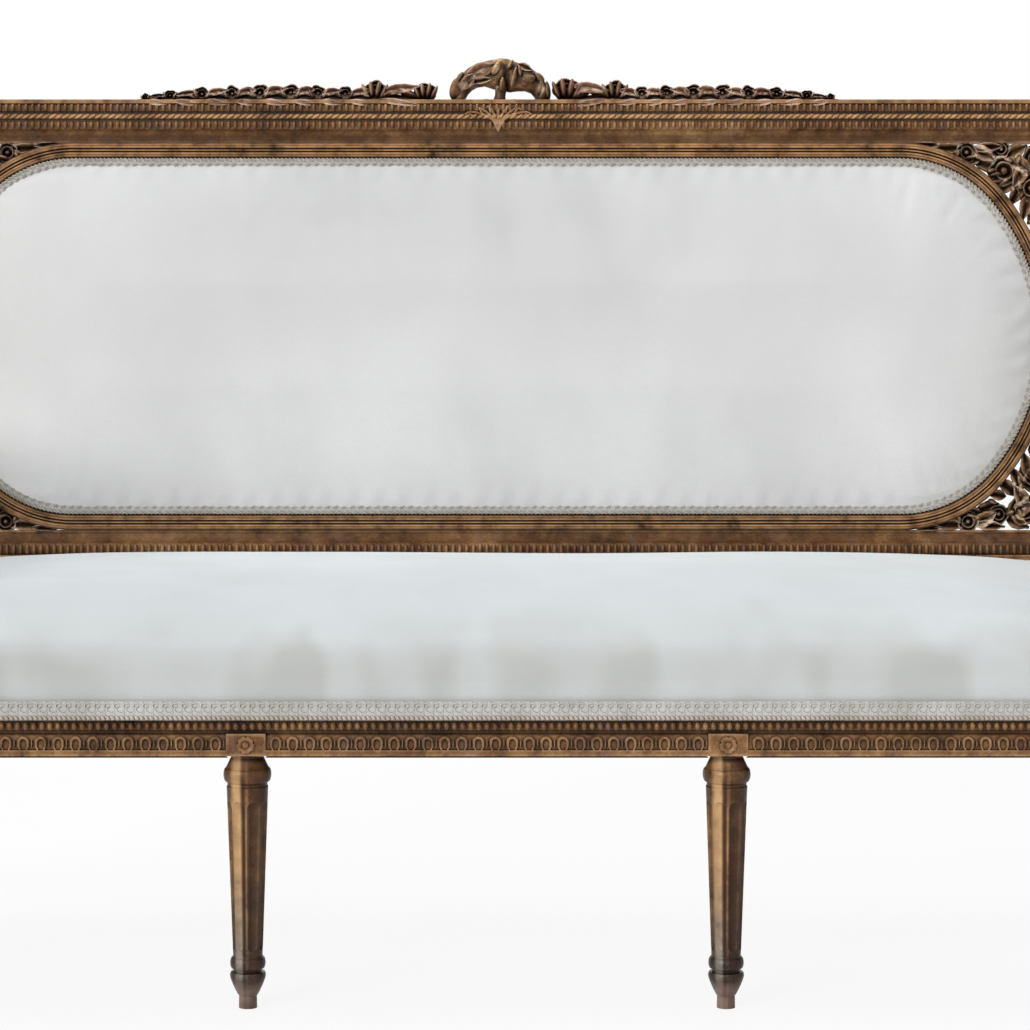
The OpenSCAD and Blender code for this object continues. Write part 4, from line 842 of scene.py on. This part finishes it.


# The fabrics. Off-white linen in a plain weave, its threads a little uneven, with faint grey
# and bluish clouds where the stuffing lies nearer the cloth, and painted shade that darkens the
# back towards its top and the seat's front face below its edge; cotton braid a shade warmer,
# with painted shade between its scrolls.
def linen(name, clean, shade, painted_shade):
    cloth = Finish(name)
    slow = cloth.clouds(0.3, 2, 0.45)
    mottle = cloth.clouds(0.09, 2, 0.45, cloth.place((1, 1, 0.5)))
    none_at, all_at, colour, width, parted = painted_shade
    # Painted shade: darker over a band of height, less towards the ends and broken up by lumps.
    wear_grey_and_painted_shade = cloth.between(
        cloth.axis("Z") + (mottle - 0.2) * (all_at - none_at) * 1.3, none_at, all_at)
    wear_grey_and_painted_shade = wear_grey_and_painted_shade * cloth.between(abs(cloth.axis("X")), width, width * 0.4, 0.3, 0.9)
    lumps = cloth.clouds(0.075, 1, 0.4, cloth.place((1, 1, 0.4)))
    wear_grey_and_painted_shade = wear_grey_and_painted_shade * cloth.between(lumps, 0.42, 0.6, 1, 1 - parted)
    tone = cloth.mix(cloth.between(slow * 0.6 + mottle * 0.4, 0.38, 0.62), shade, clean)
    slub = cloth.clouds(0.0011, 2, 0.5, cloth.place((1, 1, 0.12)))
    cross = cloth.clouds(0.0011, 2, 0.5, cloth.place((0.12, 1, 1)))
    weave = slub * 0.5 + cross * 0.5
    tone = cloth.layer(
        tone, (wear_grey_and_painted_shade, colour), (cloth.between(weave, 0.35, 0.65, 0, 0.14), "#c4c5c3"))
    return cloth.set(
        Base_Color=tone, Roughness=cloth.between(weave, 0.3, 0.7, 0.8, 0.95),
        Sheen_Weight=0.25, Sheen_Roughness=0.5, Specular_IOR_Level=0.25,
        Normal=cloth.bump(weave, 0.0007, 0.5))


def cotton(name, light, dark):
    yarn = Finish(name)
    twist = yarn.clouds(0.0009, 2, 0.5)
    tone = yarn.mix(yarn.between(yarn.clouds(0.05, 3), 0.35, 0.65), dark, light)
    # Painted shade in the hollows between the scrolls, the tape and the cord.
    painted_gap_shade = yarn.between(yarn.hollows(0.0035), 0.92, 0.45)
    tone = yarn.mix(painted_gap_shade * 0.7, tone, "#94897d")
    return yarn.set(
        Base_Color=tone, Roughness=yarn.between(twist, 0.3, 0.7, 0.75, 0.92),
        Sheen_Weight=0.2, Specular_IOR_Level=0.3, Normal=yarn.bump(twist, 0.0005, 0.6))


# The last settings give the painted shade: where it starts and is full, its colour, the width it
# keeps to and how far lumps break it up.
linen_seat = linen("linen_seat", "#dadfe1", "#d0d4d5", (0.452, 0.385, "#bfc0be", 2.5, 0.6))
linen_back = linen("linen_back", "#e8e8e8", "#dbdbdb", (0.8, 1.06, "#c8c8c8", 0.55, 0.15))
braid_linen = cotton("braid_scrolls", "#d2d1ce", "#c0beb9")
braid_cotton = cotton("braid_cord", "#d3c8bb", "#b9ac9e")


def apart(node, name):
    """A piece of its own with the mesh of a CAD node, to work on."""
    made = linked(name, nodes[node].data.copy())
    take(made, "SELECT")
    bpy.ops.mesh.remove_doubles(threshold=0.0001)
    leave()
    return made


def stuffed(piece, held, swell, pressure):
    """Lets cloth swell over the stuffing where a rule doesn't hold it, by so much at most."""
    frames = 20
    before = [point.co.copy() for point in piece.data.vertices]
    pins = piece.vertex_groups.new(name="held")
    for point in piece.data.vertices:
        pins.add([point.index], held(point.co), "REPLACE")
    alone(piece)
    cover = piece.modifiers.new("cover", "CLOTH")
    rules = cover.settings
    rules.vertex_group_mass = "held"
    rules.use_pressure, rules.uniform_pressure_force = True, pressure
    rules.effector_weights.gravity = 0
    rules.quality = 5
    rules.tension_stiffness = rules.compression_stiffness = 15
    rules.shear_stiffness, rules.bending_stiffness = 8, 0.6
    cover.collision_settings.use_collision = False
    cover.point_cache.frame_start, cover.point_cache.frame_end = 1, frames
    for frame_number in range(1, frames + 1):
        scene.frame_set(frame_number)
    bpy.ops.object.modifier_apply(modifier=cover.name)
    scene.frame_set(1)
    for point, was in zip(piece.data.vertices, before):
        moved = point.co - was
        if moved.length > swell:
            point.co = was + moved * (swell / moved.length)
    piece.vertex_groups.clear()


def slackened(piece, rounds):
    """Evens out a skin."""
    apply(piece, "SMOOTH", iterations=rounds, factor=0.5)


def clamped(value):
    """A share held between none and all."""
    return min(1.0, max(0.0, value))


# Seat. Springs and stuffing under one tight linen cover, pulled down to the rails all round and
# cut in round the arm supports and posts. Its skin is filled in below to swell as one body,
# and opened there again when it has swollen.
show_z, crown_z = rail_face.z + 0.042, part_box("seat_cushion")[1].z
seat = apart("seat_cushion", "seat_cover")
plugs = []
for low, high in (((-0.8105, rail_face.y + 0.005, show_z), (0.8105, -0.26, show_z + 0.0635)),
                  ((-0.83, -0.268, show_z), (0.83, 0.249, show_z + 0.0685)),
                  ((-0.756, 0.236, show_z), (0.756, 0.249, show_z + 0.042)),
                  ((-0.756, 0.236, show_z + 0.0305), (0.756, 0.272, show_z + 0.042))):
    plug = fresh(bpy.ops.mesh.primitive_cube_add, size=1)
    low, high = Vector(low), Vector(high)
    plug.data.transform(at(*((low + high) / 2)) @ sized(*(high - low)))
    plugs.append(plug)
for point in plugs[1].data.vertices:
    edge = side_x - (point.co.y - side_start.y) * math.tan(math.radians(side_slope)) - 0.0055
    point.co.x = math.copysign(edge, point.co.x)
seat = gather([seat] + plugs, "seat_cover")
apply(seat, "REMESH", mode="VOXEL", voxel_size=0.009)
highest = max(point.co.z for point in seat.data.vertices)
take(seat)
pick(seat, lambda p: p.z > highest - 0.004)
bpy.ops.mesh.select_linked()
bpy.ops.mesh.select_all(action="INVERT")
bpy.ops.mesh.delete(type="VERT")
leave()
slackened(seat, 4)
shape(seat, lambda p: p - Vector((0, 0, 0.006 * clamped((p.z - show_z - 0.06) / 0.05))))


def seat_held(place):
    """The skin is held along the braid, at the cut-outs and at the rear."""
    low = clamped((show_z + 0.034 - place.z) / 0.01)
    corner = place.x ** 2 > 0.806 ** 2 and place.y < side_start.y + 0.006
    post = abs(place.x) > 0.754 and place.y > 0.244
    return 1.0 if corner or post or place.y > 0.262 else low


stuffed(seat, seat_held, swell=0.0065, pressure=5)
slackened(seat, 2)


def lived_in(place):
    """Soft lumps of stuffing: upright patches down the front, broad hollows on top."""
    front = clamped((place.z - show_z - 0.03) / 0.03) * clamped((-0.29 - place.y) / 0.03)
    patch = noise.noise(Vector((place.x / 0.075, 3.1, place.z / 0.16)))
    top = clamped((place.z - crown_z + 0.05) / 0.03)
    broad = noise.noise(Vector((place.x / 0.28, place.y / 0.2, 7.7)))
    fall = 0.0085 * max(0, (abs(place.x) - 0.3) / 0.4) ** 2 * top
    return place + Vector((0, 0.0034 * patch * front, 0.0028 * broad * top - fall))


shape(seat, lived_in)
take(seat)
pick(seat, lambda p: p.z < show_z + 0.0035)
bpy.ops.mesh.delete(type="VERT")
leave()
apply(seat, "SUBSURF", levels=1)
take(seat)
bpy.ops.mesh.select_non_manifold()
half_long, half_deep = 0.84, 0.29
for inward, up in ((0.01, 0), (0, 0.03), (0.016, 0), (0.022, 0.034)):
    drawn_out(0, 0, up)
    bpy.ops.transform.resize(value=(1 - inward / half_long, 1 - inward / half_deep, 1))
bpy.ops.mesh.edge_face_add()
leave()
settle(seat, linen_seat, "linen", "seat_cushion")

# Back pad. Stuffing over webbing and hessian in the oval, under linen pulled tight to the
# moulding's ledge. Worked on upright, with its thin edge thickened while it swells.
pad_back, pad_edge = 0.0076, 0.0041
pad = apart("back_pad", "back_pad_cover")
pad.data.transform(lean.inverted())
shape(pad, lambda p: p + Vector((0, 0.02, 0)) if p.y > pad_back - 0.0015 else p)
apply(pad, "REMESH", mode="VOXEL", voxel_size=0.008)
slackened(pad, 3)


def inside_oval(x, z):
    """How far a place on the back lies inside the oval's edge."""
    x, z = abs(x), abs(z - oval_z)
    if x <= corner_x:
        return oval_rise - z
    if z > (x - end_x) * math.tan(math.radians(end_turn)):
        return corner_arc - math.hypot(x - corner_x, z - oval_rise + corner_arc)
    return end_arc - math.hypot(x - end_x, z)


def pad_held(place):
    """The skin is held along the moulding and at the rear."""
    rim = inside_oval(place.x, place.z)
    return 1.0 if place.y > pad_edge + 0.002 else clamped((0.022 - rim) / 0.008)


stuffed(pad, pad_held, swell=0.008, pressure=4)
slackened(pad, 2)


def pulled(place):
    """Small even pulls where the cover is tacked along the edge, and slow broad unevenness."""
    rim = inside_oval(place.x, place.z)
    near = max(0, 1 - abs(rim - 0.02) / 0.018)
    along = place.x if rim == oval_rise - abs(place.z - oval_z) else place.z
    pull = 0.0011 * near * math.cos(along / 0.034 * math.tau) * (place.y < pad_edge)
    broad = 0.002 * noise.noise(Vector((place.x / 0.22, 2.2, place.z / 0.18)))
    return place + Vector((0, pull + broad * min(1, rim / 0.06), 0))


shape(pad, pulled)
take(pad, "SELECT")
bpy.ops.mesh.bisect(plane_co=(0, pad_back, 0), plane_no=(0, 1, 0), clear_outer=True, use_fill=True)
leave()
apply(pad, "SUBSURF", levels=1, subdivision_type="SIMPLE")
pad.data.transform(lean)
settle(pad, linen_back, "linen", "back_pad")

# Arm pads. A short stuffed pad on the flat of each arm, under the same linen as the seat, which
# swells a little between the braid that holds it all round.
arm_x, arm_slope = 0.84, 5.281
arm_frame = at(arm_x, rail_face.y + 0.028, 0) @ turned("Z", arm_slope)
arm_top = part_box("arm_pad_right")[0].z
for side in ("right", "left"):
    pad = apart("arm_pad_" + side, "arm_pad_cover_" + side)
    apply(pad, "REMESH", mode="VOXEL", voxel_size=0.004)
    slackened(pad, 4)
    stuffed(pad, lambda p: clamped((arm_top + 0.014 - p.z) / 0.004), swell=0.004, pressure=6)
    apply(pad, "SUBSURF", levels=1)
    settle(pad, linen_seat, "linen", "arm_pad_" + side)


# Braid. Woven gimp: a flat tape with a row of raised scrolls and a thick twisted cord along its
# lower edge, sewn and glued over the tacks. One length of a scroll is modelled and repeated.
def laid(points, pitch, face=None, up=None):
    """Even places round a closed line, X along it, with either its face or its up side held."""
    loop = points + points[:1]
    steps = [(b - a).length for a, b in zip(loop, loop[1:])]
    count = round(sum(steps) / pitch)
    places, passed, i = [], 0.0, 0
    for k in range(count):
        target = (k + 0.5) * sum(steps) / count
        while passed + steps[i] < target:
            passed += steps[i]
            i += 1
        ahead = (loop[i + 1] - loop[i]).normalized()
        back = -face if face else up.cross(ahead)
        place = Matrix((ahead, back, ahead.cross(back))).transposed().to_4x4()
        place.translation = loop[i].lerp(loop[i + 1], (target - passed) / steps[i])
        places.append(place)
    return places


loop = fresh(bpy.ops.mesh.primitive_torus_add, major_segments=9, minor_segments=3,
             major_radius=0.5, minor_radius=0.12)
loop.data.transform(turned("X", 90))
tape = fresh(bpy.ops.mesh.primitive_cube_add, size=1)
strand = fresh(bpy.ops.mesh.primitive_ico_sphere_add, subdivisions=1, radius=0.5)


def braid_length(pitch, width, name):
    """The scrolls and tape of one length, and its twist of the cord."""
    band = gather([
        copies(tape, [
            at(0, -0.0007, width / 2) @ sized(pitch * 1.06, 0.0014, width - 0.001)], name),
        copies(loop, [at(pitch * 0.1, -0.0016, width * 0.6) @ turned("Y", 24)
                      @ sized(pitch * 0.98, 0.006, width * 0.4),
                      at(-pitch * 0.3, -0.0019, width * 0.8) @ turned("Y", -30)
                      @ sized(pitch * 0.62, 0.007, width * 0.26)], name)], name)
    twist = copies(strand, [at(x * pitch, -0.0016, width * 0.15) @ turned("Y", 40)
                            @ sized(pitch * 0.8, 0.0052, width * 0.19) for x in (-0.25, 0.25)],
                   name + "_cord")
    return band, twist


def braided(lengths, places, name, *stands_for):
    """Lays braid along places, and gives it its two pieces: the scrolls and the cord."""
    for model, part, yarn in zip(lengths, ("scrolls", "cord"), (braid_linen, braid_cotton)):
        settle(copies(model, places, name + "_" + part), yarn, "braid",
               *(stands_for if part == "scrolls" else ()))


wide_pitch, braid_slope, braid_out, braid_up = 0.0112, 14.04, 0.0016, show_z + 0.0003
wide = braid_length(wide_pitch, 0.0238, "wide_braid")
front_line = at(0, rail_face.y + braid_out, braid_up) @ turned("X", braid_slope)
side_line = side_frame @ at(0, braid_out, braid_up) @ turned("X", braid_slope)
places = [front_line @ at(x, 0, 0) for x in spaced(-0.8115, 0.8115, wide_pitch)]
sides = [side_line @ at(x, 0, 0) for x in spaced(0.0006, 0.5208, wide_pitch)]
braided(wide, places + sides + mirrored(sides), "seat_braid", "seat_gimp")

narrow_pitch, outside_face = 0.011, 0.0321
narrow = braid_length(narrow_pitch, 0.011, "narrow_braid")
edge = [Vector((x, pad_edge - 0.0005, oval_z + z)) for x, z in oval_line(0.0007)]
places = [lean @ place for place in laid(edge, narrow_pitch, face=Vector((0, -1, 0)))]
braided(narrow, places, "back_braid", "back_gimp")
edge = [Vector((-p.x, outside_face, p.z)) for p in edge]
places = [lean @ place for place in laid(edge, narrow_pitch, face=Vector((0, 1, 0)))]
braided(narrow, places, "outside_braid", "outside_gimp")

half, from_y, to_y, bend = 0.0207, 0.0966, 0.3767, 0.0113
edge = []
for x, y, start in ((1, from_y + bend, -90), (1, to_y - bend, 0),
                    (-1, to_y - bend, 90), (-1, from_y + bend, 180)):
    edge += [Vector((x * (half - bend) + bend * math.cos(a), y + bend * math.sin(a), arm_top))
             for a in [math.radians(start + 15 * k) for k in range(7)]]
places = [arm_frame @ place for place in laid(edge, narrow_pitch, up=Vector((0, 0, 1)))]
braided(narrow, places, "arm_braid_right", "arm_gimp_right")
braided(narrow, mirrored(places), "arm_braid_left", "arm_gimp_left")
for model in (loop, tape, strand, *wide, *narrow):
    bpy.data.objects.remove(model)

# Outside back and dust cover. A linen panel stretched in the moulding's rear rabbet, and the
# black cloth tacked flat over the underside, cut round the legs.
panel = fresh(bpy.ops.mesh.primitive_grid_add, x_subdivisions=96, y_subdivisions=36, size=2)
panel_deep, panel_room, tack_pitch = 0.0305, 0.0006, 0.04


def stretched(place):
    """A point of the flat grid on the panel, which draws in a little towards its tacks."""
    up = math.sin(place.y * math.pi / 2) * (oval_rise - panel_room)
    high = abs(up)
    if high < end_arc * math.sin(math.radians(end_turn)):
        wide_here = end_x + math.sqrt((end_arc - panel_room) ** 2 - high ** 2)
    else:
        wide_here = corner_x + math.sqrt(max(
            0, (corner_arc - panel_room) ** 2 - (high - oval_rise + corner_arc) ** 2))
    across = math.sin(place.x * math.pi / 2) * wide_here
    near = max(0, 1 - inside_oval(across, oval_z + up) / 0.03)
    dent = 0.0006 * near * math.cos(across * math.tau / tack_pitch)
    dent *= math.cos(up * math.tau / tack_pitch)
    return Vector((across, panel_deep + dent, oval_z + up))


shape(panel, stretched)
take(panel, "SELECT")
bpy.ops.mesh.remove_doubles(threshold=0.00005)
bpy.ops.mesh.normals_make_consistent(inside=False)
leave()
apply(panel, "SOLIDIFY", thickness=0.001, offset=0)
panel.data.transform(lean)
panel.name = panel.data.name = "outside_panel"
settle(panel, linen_back, "linen", "outside_back")

dust = apart("dust_cover", "under_cloth")
settle(dust, black_cotton, "black_cloth", "dust_cover")
